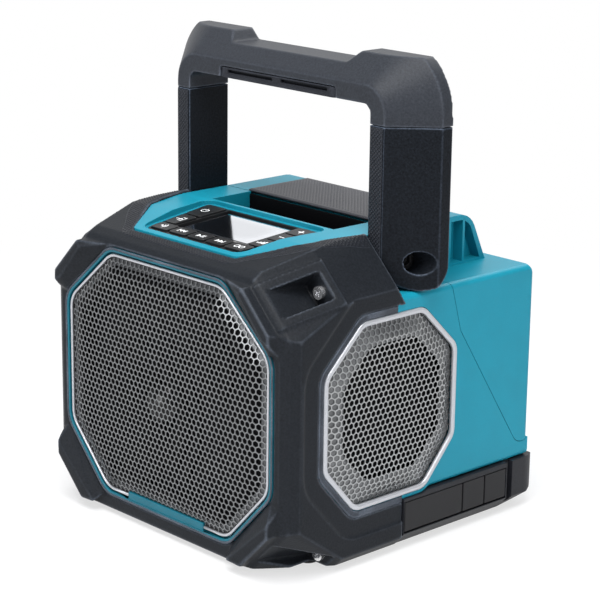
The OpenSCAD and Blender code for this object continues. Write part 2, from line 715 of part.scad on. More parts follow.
module control_panel() color("teal") difference() {
    intersection() {
        from_above(deck_h, beyond) polygon(rounded(panel_plan, panel_r));
        from_side(-beyond, beyond) polygon([[panel_y - 1, 0], [cover_y - run_gap, 0],
            [cover_y - run_gap, rail_h], [panel_y + 60, rail_h], [panel_y + 34.5, rail_h - 1],
                [panel_y - 1, rail_h - 7.2]]);
    }
    on_panel() {
        linear_extrude(beyond) polygon(rounded(inset(mat_plan, -2), mat_r + 2));
        translate([0, 0, -mat_t]) linear_extrude(beyond) polygon(rounded(mat_plan, mat_r));
        translate([0, 0, -beyond]) linear_extrude(2 * beyond)
            polygon(rounded(inset(mat_plan, mat_ledge), window_r));
    }
    from_above(0, beyond) translate([-slot_x - fit_gap, slot_y - fit_gap])
        square([2 * (slot_x + fit_gap), beyond]);
    // Room for the pivot faces, which rise from the housing into the rails
    both() from_side(tower_x - pivot_l - fit_gap, beyond) {
        translate([pivot_y, pivot_z]) circle(pivot_r + fit_gap);
        translate([pivot_y - pivot_r - fit_gap, 0]) square([2 * (pivot_r + fit_gap), pivot_z]);
    }
}

tray_t = 1.5;
tray_end = 9;

module phone_tray() color("black") difference() {
    from_above(tray_z + fit_gap, rail_h - 1.5) translate([-slot_x, slot_y])
        square([2 * slot_x, cover_y - slot_y - run_gap - fit_gap]);
    from_above(tray_z + fit_gap + 2, beyond) translate([tray_t - slot_x, slot_y + tray_t])
        square([2 * (slot_x - tray_t), cover_y - slot_y - run_gap - fit_gap - 2 * tray_t]);
    // Low ends, over which the panel's own walls show
    from_above(tray_z + tray_end, beyond) translate([-beyond, slot_y + tray_t])
        square([2 * beyond, cover_y - slot_y - run_gap - fit_gap - 2 * tray_t]);
}

// Outlines of the keys in the plane of the key field: a row along the front and a column at each side,
// whose outer edges run along the mat's sides
key_rim = 2.5;
key_gap = 1.6;
key_y = [mat_front[1] + key_rim, lens_at[1] - key_gap];
key_x = -lens_at[0] + key_gap;
row_w = (2 * (mat_side(key_y[0]) - key_rim) - 4 * key_gap) / 5;
function mat_side(y) = mat_front[0]
    + (y - mat_front[1]) * (mat_rear[0] - mat_front[0]) / (mat_rear[1] - mat_front[1]);
function row_key(i) = let (x = i * (row_w + key_gap)) [[x + row_w / 2, key_y[0]], [x + row_w / 2, key_y[1]],
    [x - row_w / 2, key_y[1]], [x - row_w / 2, key_y[0]]];
function side_key(x, y0, y1) = [[mat_side(y0) - key_rim, y0], [mat_side(y1) - key_rim, y1], [x, y1],
    [x, y0]];
function flipped(pts) = [for (i = [len(pts) - 1 : -1 : 0]) [-pts[i][0], pts[i][1]]];
// Front and rear edges of the keys at the sides
key_back = mat_rear[1] - key_rim;
pair_y = [lens_at[1] + 0.2, lens_at[1] + 19.4];
trio_l = (key_back - pair_y[0] - 2 * key_gap) / 3;
function trio_key(i) = let (y = pair_y[0] + i * (trio_l + key_gap)) side_key(key_x, y, y + trio_l);
link_key = side_key(1.5 * row_w + 2 * key_gap, key_y[0], key_y[1]);
source_key = flipped(side_key(key_x, pair_y[0], pair_y[1]));
power_key = flipped(side_key(key_x, pair_y[1] + key_gap, key_back));
all_keys = [row_key(-1), row_key(0), row_key(1), link_key, flipped(link_key), power_key, source_key,
    trio_key(0), trio_key(1), trio_key(2)];

module key_outline(k, grow) polygon(rounded(inset(k, -grow), 2.5));

module key(k) color("black") on_panel() {
    translate([0, 0, -mat_t - 0.4]) linear_extrude(mat_t + 0.4 + key_proud) key_outline(k, 0);
    translate([0, 0, -mat_t - 2]) linear_extrude(1.7) key_outline(k, key_flange);
}

module key_mat() color("black") on_panel() translate([0, 0, -mat_t]) linear_extrude(mat_t) difference() {
    polygon(rounded(inset(mat_plan, fit_gap), mat_r));
    for (k = all_keys) key_outline(k, 0.3);
    translate(lens_at - [fit_gap, fit_gap]) square(lens_size + 2 * [fit_gap, fit_gap]);
}

lens_t = 2;
lens_drop = 1.2;
board_z = -9.5;

module display_lens() color("black") on_panel() translate([0, 0, -lens_drop - lens_t])
    linear_extrude(lens_t)
    translate(lens_at) square(lens_size);

module display_module() color("lightgray") on_panel() translate([0, 0, board_z])
    linear_extrude(-lens_drop - lens_t - board_z) translate(lens_at + [2, 2]) square(lens_size - [4, 4]);

module key_board() color("darkgreen") on_panel() translate([0, 0, board_z - 1.6]) linear_extrude(1.6)
    polygon(rounded(inset(mat_plan, mat_ledge + 0.3), window_r));

// Electronics and battery

board_t = 1.6;

module main_board() color("darkgreen") {
    from_front(bay_y - wall - 12 - board_t, bay_y - wall - 12) translate([-52, 60]) square([104, 92]);
    for (x = [-30, 4]) from_front(bay_y - wall - 12 - board_t - 14, bay_y - wall - 12 - board_t)
        translate([x, 84]) square([26, 44]);
}

terminal_t = 5;
pack_top = bay_top - 2;

module battery_terminal() color("black") difference() {
    from_front(bay_y, bay_y + terminal_t) translate([-24, 108]) square([48, 30]);
    for (x = [-15, -5, 5, 15]) from_front(bay_y + 1.5, beyond) translate([x - 1, 112]) square([2, 22]);
}

module battery_pack() color("dimgray") difference() {
    from_front(bay_y + terminal_t + 0.3, rear_y - wall - 2)
        polygon(rounded([for (p = mirrored([[38, bay_floor + fit_gap],
        [38, pack_top]])) p], 5));
    both() from_above(0, pack_top - 12) translate([34, bay_y + 16]) square([beyond, 5]);
}

// Rear cover: a hollow wedge on a barrel hinge

rib_x = 8;
end_foot = [hump_foot - 5, shoulder_h + 1.5];
end_top = [cover_y + 30, rail_h - 3.5];
pad_l = 54;
cover_r = 3.5;
rib_y = [cover_y + 44, cover_y + 57];
slot_lug = 0.6;
latch_z = rail_h - 14;

module cover_plan() polygon(mirrored(concat([[side_x, cover_y - 5], [side_x, rear_y - cover_r]],
    [for (a = [15 : 15 : 90]) [side_x - cover_r, rear_y - cover_r] + cover_r * [cos(a), sin(a)]])));

module rear_cover() color("teal") difference() {
    union() {
        intersection() {
            from_side(-side_x, side_x) polygon(cover_side);
            from_front(cover_y, rear_y) polygon(block_section);
            from_above(0, beyond) cover_plan();
        }
        intersection() {
            from_side(-tower_x, tower_x) polygon(cover_middle);
            from_above(shoulder_h - wall, beyond) translate([-beyond, 0]) square(2 * beyond);
        }
    }
    // Hollow behind the barrel and under the tower's rear end
    from_side(wall - side_x, side_x - wall) difference() {
        polygon([[cover_y - 5, base_h], [rear_y - wall, base_h], [rear_y - wall, shoulder_h - 10],
            [rear_y - wall - 4, shoulder_h - wall], [cover_y - 5, shoulder_h - wall]]);
        translate(hinge) circle(barrel_r);
    }
    from_side(wall + rib_x - tower_x, tower_x - wall - rib_x)
        polygon([[cover_y + 18, shoulder_h - wall - 1], [hump_foot - 4, shoulder_h - wall - 1],
            [hump_y - 2, rail_h - pad_t - wall], [cover_y + 3.5, rail_h - pad_t - wall]]);
    // Open ends of the raised part, with two upright ribs
    both() difference() {
        from_side(tower_x - rib_x, beyond) polygon(concat([[cover_y + 30, shoulder_h + 1.5], end_foot],
            corner(end_foot, [hump_y - 1.8, rail_h - 3.5], end_top, hump_r - 4), [end_top]));
        for (y = rib_y) from_side(tower_x - rib_x - 1, beyond) translate([y, 0]) square([2, beyond]);
    }
    // Bed of the rubber pad
    from_above(rail_h - 2, beyond) translate([-pad_x - fit_gap, cover_y - 1])
        square([2 * (pad_x + fit_gap), pad_l + 1]);
    both() {
        from_side(hinge_lug[0] - slot_lug, hinge_lug[1] + slot_lug) translate(hinge) circle(barrel_r + 0.5);
        hinge_bore();
    }
    from_front(cover_y - 2, cover_y + 16) translate([-11.3, latch_z - 4.3]) square([22.6, 8.6]);
}

module top_pad() color("gray") from_above(rail_h - 2, rail_h - 2 + pad_t)
    translate([-pad_x, cover_y]) square([2 * pad_x, pad_l - fit_gap]);

latch_travel = 2.5;

// Push latch in the cover's front wall
module cover_latch() color("black") {
    from_front(cover_y + 4.5, cover_y + 16) translate([-11, latch_z - 4]) square([22, 8]);
    from_front(cover_y + 16, cover_y + 18) translate([-13.5, latch_z - 6]) square([27, 12]);
}

module hinge_pins() color("silver") both() translate([hinge_lug[0] - pin_over, hinge[0], hinge[1]])
    rotate([0, 90, 0])
    cylinder(h = hinge_lug[1] - hinge_lug[0] + 2 * pin_over, d = pin_d);

// Handle: two legs and a bar of one chamfered profile, bent round at the corners

// Profile across a leg: distance from the inner face, then depth
leg_y = pivot_y - leg_d / 2;
leg_profile = [[0, 0], [leg_face, 0], [leg_w, leg_w - leg_face], [leg_w, leg_d], [0, leg_d]];
bush_r = pivot_d / 2 + 2;
counterbore_r = 7.1;
bush_l = 12;

module leg_upright(z0, z1) from_above(z0, z1) translate([leg_x, leg_y]) polygon(leg_profile);

module handle_leg() color("dimgray") difference() {
    intersection() {
        leg_upright(0, joint_z);
        // Round lower end about the pivot
        from_side(0, beyond) polygon(concat(
            [for (a = [190 : 5 : 350]) [pivot_y, pivot_z] + (leg_d / 2 + 0.5) * [cos(a), sin(a)]],
            [[leg_y + leg_d + 2, beyond], [leg_y - 2, beyond]]));
    }
    facing_right(0, pivot_y, pivot_z) {
        cylinder(h = beyond, r = bush_r + turn_gap);
        translate([0, 0, leg_x + bush_l]) cylinder(h = beyond, r = counterbore_r);
    }
}

grip_x = 53;
grip_t = 7;

module bar_corner() translate([leg_x - bend_r, leg_y, bar_under - bend_r]) rotate([90, 0, 0])
    mirror([0, 0, 1])
    rotate_extrude(angle = 90) translate([bend_r, 0]) polygon(leg_profile);

module bar_sweep() {
    both() {
        leg_upright(joint_z + fit_gap, bar_under - bend_r);
        bar_corner();
    }
    translate([bend_r - leg_x, leg_y, bar_under]) rotate([90, 0, 90]) linear_extrude(2 * (leg_x - bend_r))
        polygon([for (p = leg_profile) [p[1], p[0]]]);
}

module handle_bar() color("dimgray") difference() {
    intersection() {
        bar_sweep();
        translate([-beyond, -beyond, 0]) cube([2 * beyond, 2 * beyond, handle_top]);
    }
    // Hollow along the top of the bar, with sloped ends
    from_front(-beyond, beyond) polygon([[-grip_x, handle_top - bar_dip], [grip_x, handle_top - bar_dip],
        [grip_x + 7, handle_top + 1], [-grip_x - 7, handle_top + 1]]);
    // Bed of the grip
    from_front(-beyond, beyond) translate([-grip_x - 0.3, 0])
        square([2 * grip_x + 0.6, bar_under + grip_t]);
}

module handle_grip() color("black") difference() {
    from_above(bar_under, bar_under + grip_t - fit_gap) translate([-grip_x, leg_y])
        polygon([[0, 1.5], [2, 0], [2 * grip_x - 2, 0], [2 * grip_x, 1.5], [2 * grip_x, leg_d],
            [0, leg_d]]);
    for (x = [-46, 4]) translate([x, leg_y - 1, bar_under + 3.6]) cube([42, 4, 1.8]);
}

module pivot_bolts() color("dimgray") both() facing_right(tower_x - 12, pivot_y, pivot_z) {
    cylinder(h = 12 + leg_gap + bush_l + 0.3, d = pivot_d);
    translate([0, 0, 12 + leg_gap + bush_l + 0.3]) difference() {
        cylinder(h = 5, r = counterbore_r - 1);
        translate([0, 0, 2]) cylinder(h = 6, d = 7, $fn = 6);
    }
}

module pivot_bushes() color("goldenrod") both() facing_right(leg_x, pivot_y, pivot_z) difference() {
    cylinder(h = bush_l, r = bush_r);
    translate([0, 0, -1]) cylinder(h = beyond, d = pivot_d + 2 * turn_gap);
}

main_housing();
base_tray();
feet();
front_bumper();
bumper_screws();
front_trim();
front_ring();
front_grille();
front_baffle();
woofer_frame();
woofer_magnet();
woofer_surround();
woofer_cone();
dust_cap();
tweeter();
left() side_ring();  // side_ring_left
side_ring();  // side_ring_right
left() side_grille();  // side_grille_left
side_grille();  // side_grille_right
left() radiator_frame();  // radiator_frame_left
radiator_frame();  // radiator_frame_right
left() radiator_cone();  // radiator_cone_left
radiator_cone();  // radiator_cone_right
control_panel();
phone_tray();
key_mat();
display_lens();
display_module();
key_board();
key(power_key);  // key_power
key(source_key);  // key_source
key(flipped(link_key));  // key_pair
key(row_key(-1));  // key_previous
key(row_key(0));  // key_play
key(row_key(1));  // key_next
key(link_key);  // key_link
key(trio_key(0));  // key_bass
key(trio_key(1));  // key_minus
key(trio_key(2));  // key_plus
main_board();
battery_terminal();
battery_pack();
rear_cover();
top_pad();
cover_latch();
hinge_pins();
handle_bar();
left() handle_leg();  // handle_leg_left
handle_leg();  // handle_leg_right
handle_grip();
pivot_bolts();
pivot_bushes();
aux_socket();
usb_socket();
dc_socket();
flap(flap_ends[0]);  // flap_front
flap(flap_ends[1]);  // flap_middle
flap(flap_ends[2]);  // flap_rear
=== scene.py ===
"""Looks of a jobsite bluetooth speaker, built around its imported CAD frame. Lengths are in metres."""
import math

import bmesh
import bpy
import numpy as np
from mathutils import Matrix, Vector


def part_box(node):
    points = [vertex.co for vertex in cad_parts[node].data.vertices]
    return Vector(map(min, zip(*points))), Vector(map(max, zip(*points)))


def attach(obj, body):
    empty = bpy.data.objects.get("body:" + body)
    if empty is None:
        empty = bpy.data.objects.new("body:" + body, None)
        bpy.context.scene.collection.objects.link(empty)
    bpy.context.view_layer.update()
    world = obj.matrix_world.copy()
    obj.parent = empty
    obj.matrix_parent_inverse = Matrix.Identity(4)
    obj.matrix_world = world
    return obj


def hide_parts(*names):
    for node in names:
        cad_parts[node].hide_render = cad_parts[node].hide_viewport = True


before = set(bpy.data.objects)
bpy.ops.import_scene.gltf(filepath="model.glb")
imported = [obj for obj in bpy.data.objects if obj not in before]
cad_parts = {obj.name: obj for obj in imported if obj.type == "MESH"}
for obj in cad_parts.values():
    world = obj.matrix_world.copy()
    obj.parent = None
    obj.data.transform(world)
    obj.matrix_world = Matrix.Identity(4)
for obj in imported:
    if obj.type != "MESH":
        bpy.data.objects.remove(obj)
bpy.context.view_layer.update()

# Places of the speaker's main planes
FRONT_Y = -0.111
AXIS_Z = 0.097
SIDE_X = 0.1125
RAIL_Z = 0.1985
LEG_FRONT_Y = -0.019

# Sign of x and name of each side
SIDES = ((1, "right"), (-1, "left"))

# Control panel: its front edge, its slope, the height of the keys over it and the depth of the lens under it
PANEL_Y = FRONT_Y + 0.0155
PANEL_Z = RAIL_Z - 0.0078
PANEL_TILT = math.radians(4)
KEY_TOP = 0.0012
LENS_DROP = 0.0012

# Corner points of the front and right side openings, anticlockwise; the side opening's middle and the radius
# of its round crown; radii of the openings' corners and the least one, and points per corner and per outline
FRONT_EDGE = np.array([[0.061, -0.0837], [0.1, -0.0421], [0.1, 0.0449], [0.055, 0.0837],
                       [-0.055, 0.0837], [-0.1, 0.0449], [-0.1, -0.0421], [-0.061, -0.0837]])
SIDE_EDGE = np.array([[0.0315, -0.06], [0.058, -0.03], [0.058, 0.03], [0.027, 0.06],
                      [-0.027, 0.06], [-0.058, 0.03], [-0.058, -0.03], [-0.0315, -0.06]])
SIDE_MID = np.array([FRONT_Y + 0.0873, AXIS_Z - 0.001])
OPEN_R = 0.0455
FRONT_R = 0.018
SIDE_R = 0.012
LEAST_R = 0.002
ARC_POINTS = 9
OUTLINE_POINTS = len(FRONT_EDGE) * ARC_POINTS

# Perforated sheets: pitch and width of the holes, reach of a hole's corner as a share of its width, points
# per hole, grid rows each way from the middle, distance at which points merge, thickness, and edge margins
PITCH = 0.0042
HOLE = 0.0036
HOLE_CORNER = 0.54
HOLE_POINTS = 12
GRID_REACH = 60
MERGE_STEP = 2e-5
SHEET_T = 0.0005
FRONT_MARGIN = 0.0052
SIDE_MARGIN = 0.0028

# Crown of the front sheet: depth of its edge, start, width and rise of the steep part, and the gentle part
CROWN_EDGE = 0.0017
STEEP_START = 0.0065
STEEP_WIDTH = 0.011
STEEP_RISE = 0.002
GENTLE_WIDTH = 0.042
GENTLE_RISE = 0.0026

# Crown of the side sheets: depth of the edge under the side face, rise to the round crown, and a length that
# keeps a division off zero
SIDE_SUNK = 0.0022
SIDE_RISE = 0.0034
NO_ZERO = 1e-6

# Strips along the front opening: insets from its outline, gaps behind the sheet or depths behind the trim
LINER_INSETS = np.linspace(0.0056, 0.011, 6)
LINER_GAP = 0.0006
# Painted shade: a black sheet behind the front sheet's outer rows, where the holes show only shade
PAINTED_SHADE_INSETS = np.linspace(0.008, 0.019, 6)
PAINTED_SHADE_GAP = 0.0014
LINER_T = 0.0003
# Painted shadow: a dark rubber line along the ring's inner edge, standing for the shade of the ring's inner
# wall
SHADOW_LINE_INSETS = (0.0056, 0.006, 0.0064, 0.0068)
SHADOW_LINE_DEPTHS = (0.0011, 0.0008, 0.001, 0.0016)
SHADOW_LINE_T = 0.0005
LIP_INSETS = (-0.0003, 0.0002, 0.0009, 0.0013)
LIP_DEPTHS = (-0.0006, -0.0011, -0.001, -0.0006)
LIP_T = 0.0004

# Liner behind the slope of the side sheets: inset, overlap past the round crown, rows and thickness
SIDE_LINER_INSET = 0.0024
SIDE_LINER_OVERLAP = 0.0006
SIDE_LINER_ROWS = 6
SIDE_LINER_T = 0.0008

# Silver rings: rows, dome power, depth of their feet and thickness; insets, widths and rises, with half the
# gap at the trim's tab; and insets, heights and end places of the lip in front of the side rings
RING_ROWS = 9
RING_POWER = 0.4
RING_SUNK = 0.0012
RING_T = 0.0008
FRONT_RING_INSET = 0.0039
FRONT_RING_W = 0.0018
FRONT_RING_RISE = 0.0014
TAB_HALF = 0.0375
SIDE_RING_W = 0.0036
SIDE_RING_RISE = 0.0022
SIDE_LIP_INSETS = (-0.0044, -0.003, -0.0012, -0.0002)
SIDE_LIP_HEIGHTS = (0.0007, 0.00075, 0.0007, 0.0003)
SIDE_LIP_ENDS = (0.003, 0.0108)

# Half of the control panel's outline, and the bumper's top and upper bevel at distances behind the trim, with
# the length over which those two blend
PANEL_EDGE = np.array([[-0.082, -0.0225], [-0.082, -0.026], [-0.073, -0.061], [-0.049, -0.0955]])
LOFT_S = np.array([0, 0.0032, 0.009, 0.045, 0.065, 0.0986])
LOFT_TOP = np.array([0.085, 0.0886, 0.092, 0.1012, 0.103, 0.1036])
LOFT_UP = np.array([0.164, 0.1681, 0.171, 0.187, 0.1874, 0.188])
TOP_BLEND = 0.0004

# Knurled band on the bumper's rim: its width at the front, then how much it gains and loses, from which y and
# over which length; points along and across, smoothing span, distance from the panel, pitch, height, share of
# the width that fades out, lift over the bumper and thickness
RIM_WIDTH = 0.0058
RIM_GAIN = (0.0047, -0.094, 0.026)
RIM_LOSS = (0.003, -0.06, 0.03)
RIM_COLUMNS = 860
RIM_ROWS = 34
RIM_SPAN = 41
RIM_START = 0.002
RIM_PITCH = 0.0024
RIM_HEIGHT = 0.00035
RIM_FADE = 0.08
RIM_LIFT = 0.0001
RIM_T = 0.0008

# Knurled strips on the handle's legs: reach across and up, points, pitch, height, fade, lift and thickness
LEG_ACROSS = (0.0852, 0.0952)
LEG_UP = (0.186, 0.2665)
LEG_ROWS = 34
LEG_COLUMNS = 268
LEG_PITCH = 0.0026
LEG_HEIGHT = 0.00045
LEG_FADE = 0.0006
LEG_LIFT = 0.00005
LEG_T = 0.0006

# Knurled pad on the cover: points, drop under the solid's top, rounded rim, plain border and its fade, pitch,
# height and thickness
PAD_ROWS = 300
PAD_COLUMNS = 136
PAD_DROP = 0.0003
PAD_RIM = 0.0006
PAD_RIM_W = 0.0012
PAD_BORDER = 0.0025
PAD_FADE = 0.0008
PAD_PITCH = 0.0028
PAD_HEIGHT = 0.00025
PAD_T = 0.0014

# Copies of CAD shells: distance at which points merge, angle of a flat face and angle of a sharp edge
MERGE_DISTANCE = 2e-6
FLAT_ANGLE = math.radians(0.6)
SHARP_ANGLE = math.radians(30)

# Prints: millimetres in a metre; scale, thickness, points per arc and usual half height of the marks; and the
# film's reach, points, lift over the lens and thickness
MM_PER_M = 1000
MARK_SCALE = 1.25
MARK_T = 0.0001
MARK_ARC_POINTS = 17
MARK_HALF = 1.7
FILM_X = (-0.0295, 0.0295)
FILM_Y = (0.0265, 0.0635)
FILM_ROWS = 9
FILM_COLUMNS = 7
FILM_LIFT = 0.0001
FILM_T = 0.00015

# Stage: half the floor's width, the way to the world's white part, and each lamp's name, place, aim, size
# and watts
FLOOR_HALF = 6
WHITE_WAY = (-0.72, 0.69, -0.35)
LAMPS = (("front_lamp", (-0.37, -1.72, 0.45), (0, 0, 0.12), 0.8, 8),
         ("right_lamp", (1.7, -0.25, 0.8), (0, 0, 0.12), 1.0, 7.5),
         ("top_lamp", (0.4, -0.6, 1.8), (0, 0, 0.15), 1.2, 46),
         ("back_lamp", (-0.25, 1.3, 1.5), (0, 0, 0.15), 1.2, 13))

# Camera: turn, tilt and roll in degrees, place along its own axes from the middle of the front opening,
# focal length and picture width in pixels, and sensor width in millimetres
VIEW_TURN = 46.59
VIEW_TILT = 15.42
VIEW_ROLL = 0.71
VIEW_ACROSS = 0.0845
VIEW_UP = 0.05781
VIEW_BACK = 1.2682
FOCAL_PIXELS = 2032.4
PICTURE_PIXELS = 600
SENSOR_MM = 36


# Materials

def new_group(name, inputs, outputs):
    """A shader node group with named inputs and outputs, and its two end nodes."""
    group = bpy.data.node_groups.new(name, "ShaderNodeTree")
    for label, kind, value in inputs:
        socket = group.interface.new_socket(label, in_out="INPUT", socket_type=kind)
        socket.default_value = value
    for label, kind in outputs:
        group.interface.new_socket(label, in_out="OUTPUT", socket_type=kind)
    return group, group.nodes.new("NodeGroupInput"), group.nodes.new("NodeGroupOutput")


def add_node(tree, kind, settings=None, values=None):
    """A node with its properties and its input values set."""
    node = tree.nodes.new(kind)
    for key, value in (settings or {}).items():
        setattr(node, key, value)
    for key, value in (values or {}).items():
        node.inputs[key].default_value = value
    return node


def make_moulded_skin():
    """Moulded surface with a fine grain as its height. The colour's value is multiplied by
    1 + drift * (slow noise - 0.5) + speckle * (grain - 0.5), and the roughness goes up by
    0.12 * grain - 0.06."""
    tree, start, end = new_group(
        "moulded_skin",
        [("Colour", "NodeSocketColor", (0.5, 0.5, 0.5, 1)), ("Drift", "NodeSocketFloat", 0.1),
         ("Speckle", "NodeSocketFloat", 0.3), ("Grain per metre", "NodeSocketFloat", 900.0),
         ("Roughness", "NodeSocketFloat", 0.5)],
        [("Colour", "NodeSocketColor"), ("Roughness", "NodeSocketFloat"), ("Height", "NodeSocketFloat")])
    place = add_node(tree, "ShaderNodeTexCoord")
    grain = add_node(tree, "ShaderNodeTexNoise", None, {"Detail": 3.0, "Roughness": 0.6})
    slow = add_node(tree, "ShaderNodeTexNoise", None, {"Scale": 14.0, "Detail": 4.0})
    tint = add_node(tree, "ShaderNodeHueSaturation")
    span = add_node(tree, "ShaderNodeMath", {"operation": "MULTIPLY_ADD"})
    half = add_node(tree, "ShaderNodeMath", {"operation": "MULTIPLY_ADD"}, {1: -0.5, 2: 1.0})
    centred = add_node(tree, "ShaderNodeMath", {"operation": "SUBTRACT"}, {1: 0.5})
    fleck = add_node(tree, "ShaderNodeMath", {"operation": "MULTIPLY_ADD"})
    rough = add_node(tree, "ShaderNodeMath", {"operation": "MULTIPLY_ADD"}, {1: 0.12})
    lower = add_node(tree, "ShaderNodeMath", {"operation": "SUBTRACT"}, {1: 0.06})
    link = tree.links.new
    link(place.outputs["Object"], grain.inputs["Vector"])
    link(place.outputs["Object"], slow.inputs["Vector"])
    link(start.outputs["Grain per metre"], grain.inputs["Scale"])
    link(start.outputs["Drift"], half.inputs[0])
    link(slow.outputs["Fac"], span.inputs[0])
    link(start.outputs["Drift"], span.inputs[1])
    link(half.outputs[0], span.inputs[2])
    link(grain.outputs["Fac"], centred.inputs[0])
    link(centred.outputs[0], fleck.inputs[0])
    link(start.outputs["Speckle"], fleck.inputs[1])
    link(span.outputs[0], fleck.inputs[2])
    link(fleck.outputs[0], tint.inputs["Value"])
    link(start.outputs["Colour"], tint.inputs["Color"])
    link(start.outputs["Roughness"], lower.inputs[0])
    link(grain.outputs["Fac"], rough.inputs[0])
    link(lower.outputs[0], rough.inputs[2])
    link(tint.outputs["Color"], end.inputs["Colour"])
    link(rough.outputs[0], end.inputs["Roughness"])
    link(grain.outputs["Fac"], end.inputs["Height"])
    return tree


def make_edge_highlight_and_wear():
    """Painted highlight on sharp outer edges, partly wear: the colour's value is multiplied by 1 + lift *
    noise there.
    """
    tree, start, end = new_group(
        "edge_highlight_and_wear", [("Colour", "NodeSocketColor", (0.5, 0.5, 0.5, 1)), ("Lift", "NodeSocketFloat", 0.3)],
        [("Colour", "NodeSocketColor")])
    shape = add_node(tree, "ShaderNodeNewGeometry")
    ramp = add_node(tree, "ShaderNodeMapRange", None, {"From Min": 0.51, "From Max": 0.56})
    place = add_node(tree, "ShaderNodeTexCoord")
    patch = add_node(tree, "ShaderNodeTexNoise", None, {"Scale": 60.0, "Detail": 4.0})
    mask = add_node(tree, "ShaderNodeMath", {"operation": "MULTIPLY"})
    amount = add_node(tree, "ShaderNodeMath", {"operation": "MULTIPLY_ADD"}, {2: 1.0})
    tint = add_node(tree, "ShaderNodeHueSaturation")
    link = tree.links.new
    link(shape.outputs["Pointiness"], ramp.inputs["Value"])
    link(place.outputs["Object"], patch.inputs["Vector"])
    link(ramp.outputs["Result"], mask.inputs[0])
    link(patch.outputs["Fac"], mask.inputs[1])
    link(mask.outputs[0], amount.inputs[0])
    link(start.outputs["Lift"], amount.inputs[1])
    link(amount.outputs[0], tint.inputs["Value"])
    link(start.outputs["Colour"], tint.inputs["Color"])
    link(tint.outputs["Color"], end.inputs["Colour"])
    return tree


MOULDED_SKIN = make_moulded_skin()
# Painted highlight on sharp outer edges, partly wear
EDGE_HIGHLIGHT_AND_WEAR = make_edge_highlight_and_wear()


def finish_material(name, colour, roughness, grain=900.0, depth=0.00003, drift=0.12, speckle=0.2, lift=0.3,
                    metallic=0.0, specular=0.5, coat=0.0):
    """A Principled material over the moulded skin and the painted edge highlight, which is partly wear."""
    material = bpy.data.materials.new(name)
    material.use_nodes = True
    tree = material.node_tree
    shader = tree.nodes["Principled BSDF"]
    shader.inputs["Metallic"].default_value = metallic
    shader.inputs["Specular IOR Level"].default_value = specular
    shader.inputs["Coat Weight"].default_value = coat
    shader.inputs["Coat Roughness"].default_value = 0.1
    skin = add_node(tree, "ShaderNodeGroup", {"node_tree": MOULDED_SKIN},
                    {"Colour": (*colour, 1), "Drift": drift, "Speckle": speckle, "Grain per metre": grain,
                     "Roughness": roughness})
    # painted highlight on sharp outer edges, partly wear, as strong as lift
    edge_light = add_node(tree, "ShaderNodeGroup", {"node_tree": EDGE_HIGHLIGHT_AND_WEAR}, {"Lift": lift})
    bump = add_node(tree, "ShaderNodeBump", None, {"Strength": 0.6, "Distance": depth})
    link = tree.links.new
    link(skin.outputs["Colour"], edge_light.inputs["Colour"])
    link(edge_light.outputs["Colour"], shader.inputs["Base Color"])
    link(skin.outputs["Roughness"], shader.inputs["Roughness"])
    link(skin.outputs["Height"], bump.inputs["Height"])
    link(bump.outputs["Normal"], shader.inputs["Normal"])
    return material


# Each lift lightens the material's sharp outer edges: a painted highlight, partly wear
teal = finish_material("teal_shell", (0.006, 0.215, 0.302), 0.4, grain=1500, depth=0.00002, drift=0.06,
                       lift=0.25, specular=0.2)
# Painted shade: the front trim's teal is a darker copy of the shell's teal, for the trim that lies in shade
teal_shaded_copy = finish_material("teal_trim_painted_shade", (0.004, 0.112, 0.158), 0.4, grain=1500, depth=0.00002, drift=0.06,
                            lift=0.25, specular=0.3)
charcoal = finish_material("charcoal_bumper", (0.0128, 0.0149, 0.0186), 0.42, grain=750, depth=0.0002,
                           speckle=1.3, lift=9.0, specular=0.1)
bar_grey = finish_material("charcoal_bar", (0.0275, 0.0308, 0.038), 0.42, grain=750, depth=0.0002,
                           speckle=1.1, lift=4.0, specular=0.14)
grip_grey = finish_material("grip_insert", (0.0155, 0.0168, 0.021), 0.5, depth=0.00012, speckle=1.0, lift=2.0,
                            specular=0.1)
leg_black = finish_material("black_legs", (0.0074, 0.0092, 0.0124), 0.45, grain=750, depth=0.0002,
                            speckle=2.2, lift=18.0, specular=0.08)
base_black = finish_material("black_base", (0.009, 0.0096, 0.0122), 0.48, grain=750, depth=0.0002,
                             speckle=1.5, lift=1.2, specular=0.25)
rubber = finish_material("black_rubber", (0.006, 0.006, 0.0072), 0.56, grain=1600, depth=0.00005, lift=0.8,
                         specular=0.35)
knurl_black = finish_material("knurled_rubber", (0.0112, 0.0128, 0.0168), 0.42, grain=2400, depth=0.00002,
                              lift=2.0, specular=0.2)
pad_grey = finish_material("knurled_pad", (0.033, 0.0345, 0.043), 0.5, grain=2400, depth=0.00002, lift=0.8)
silver = finish_material("silver_ring", (0.5, 0.51, 0.54), 0.34, metallic=0.55, depth=0.00001, drift=0.04,
                         lift=0.1)
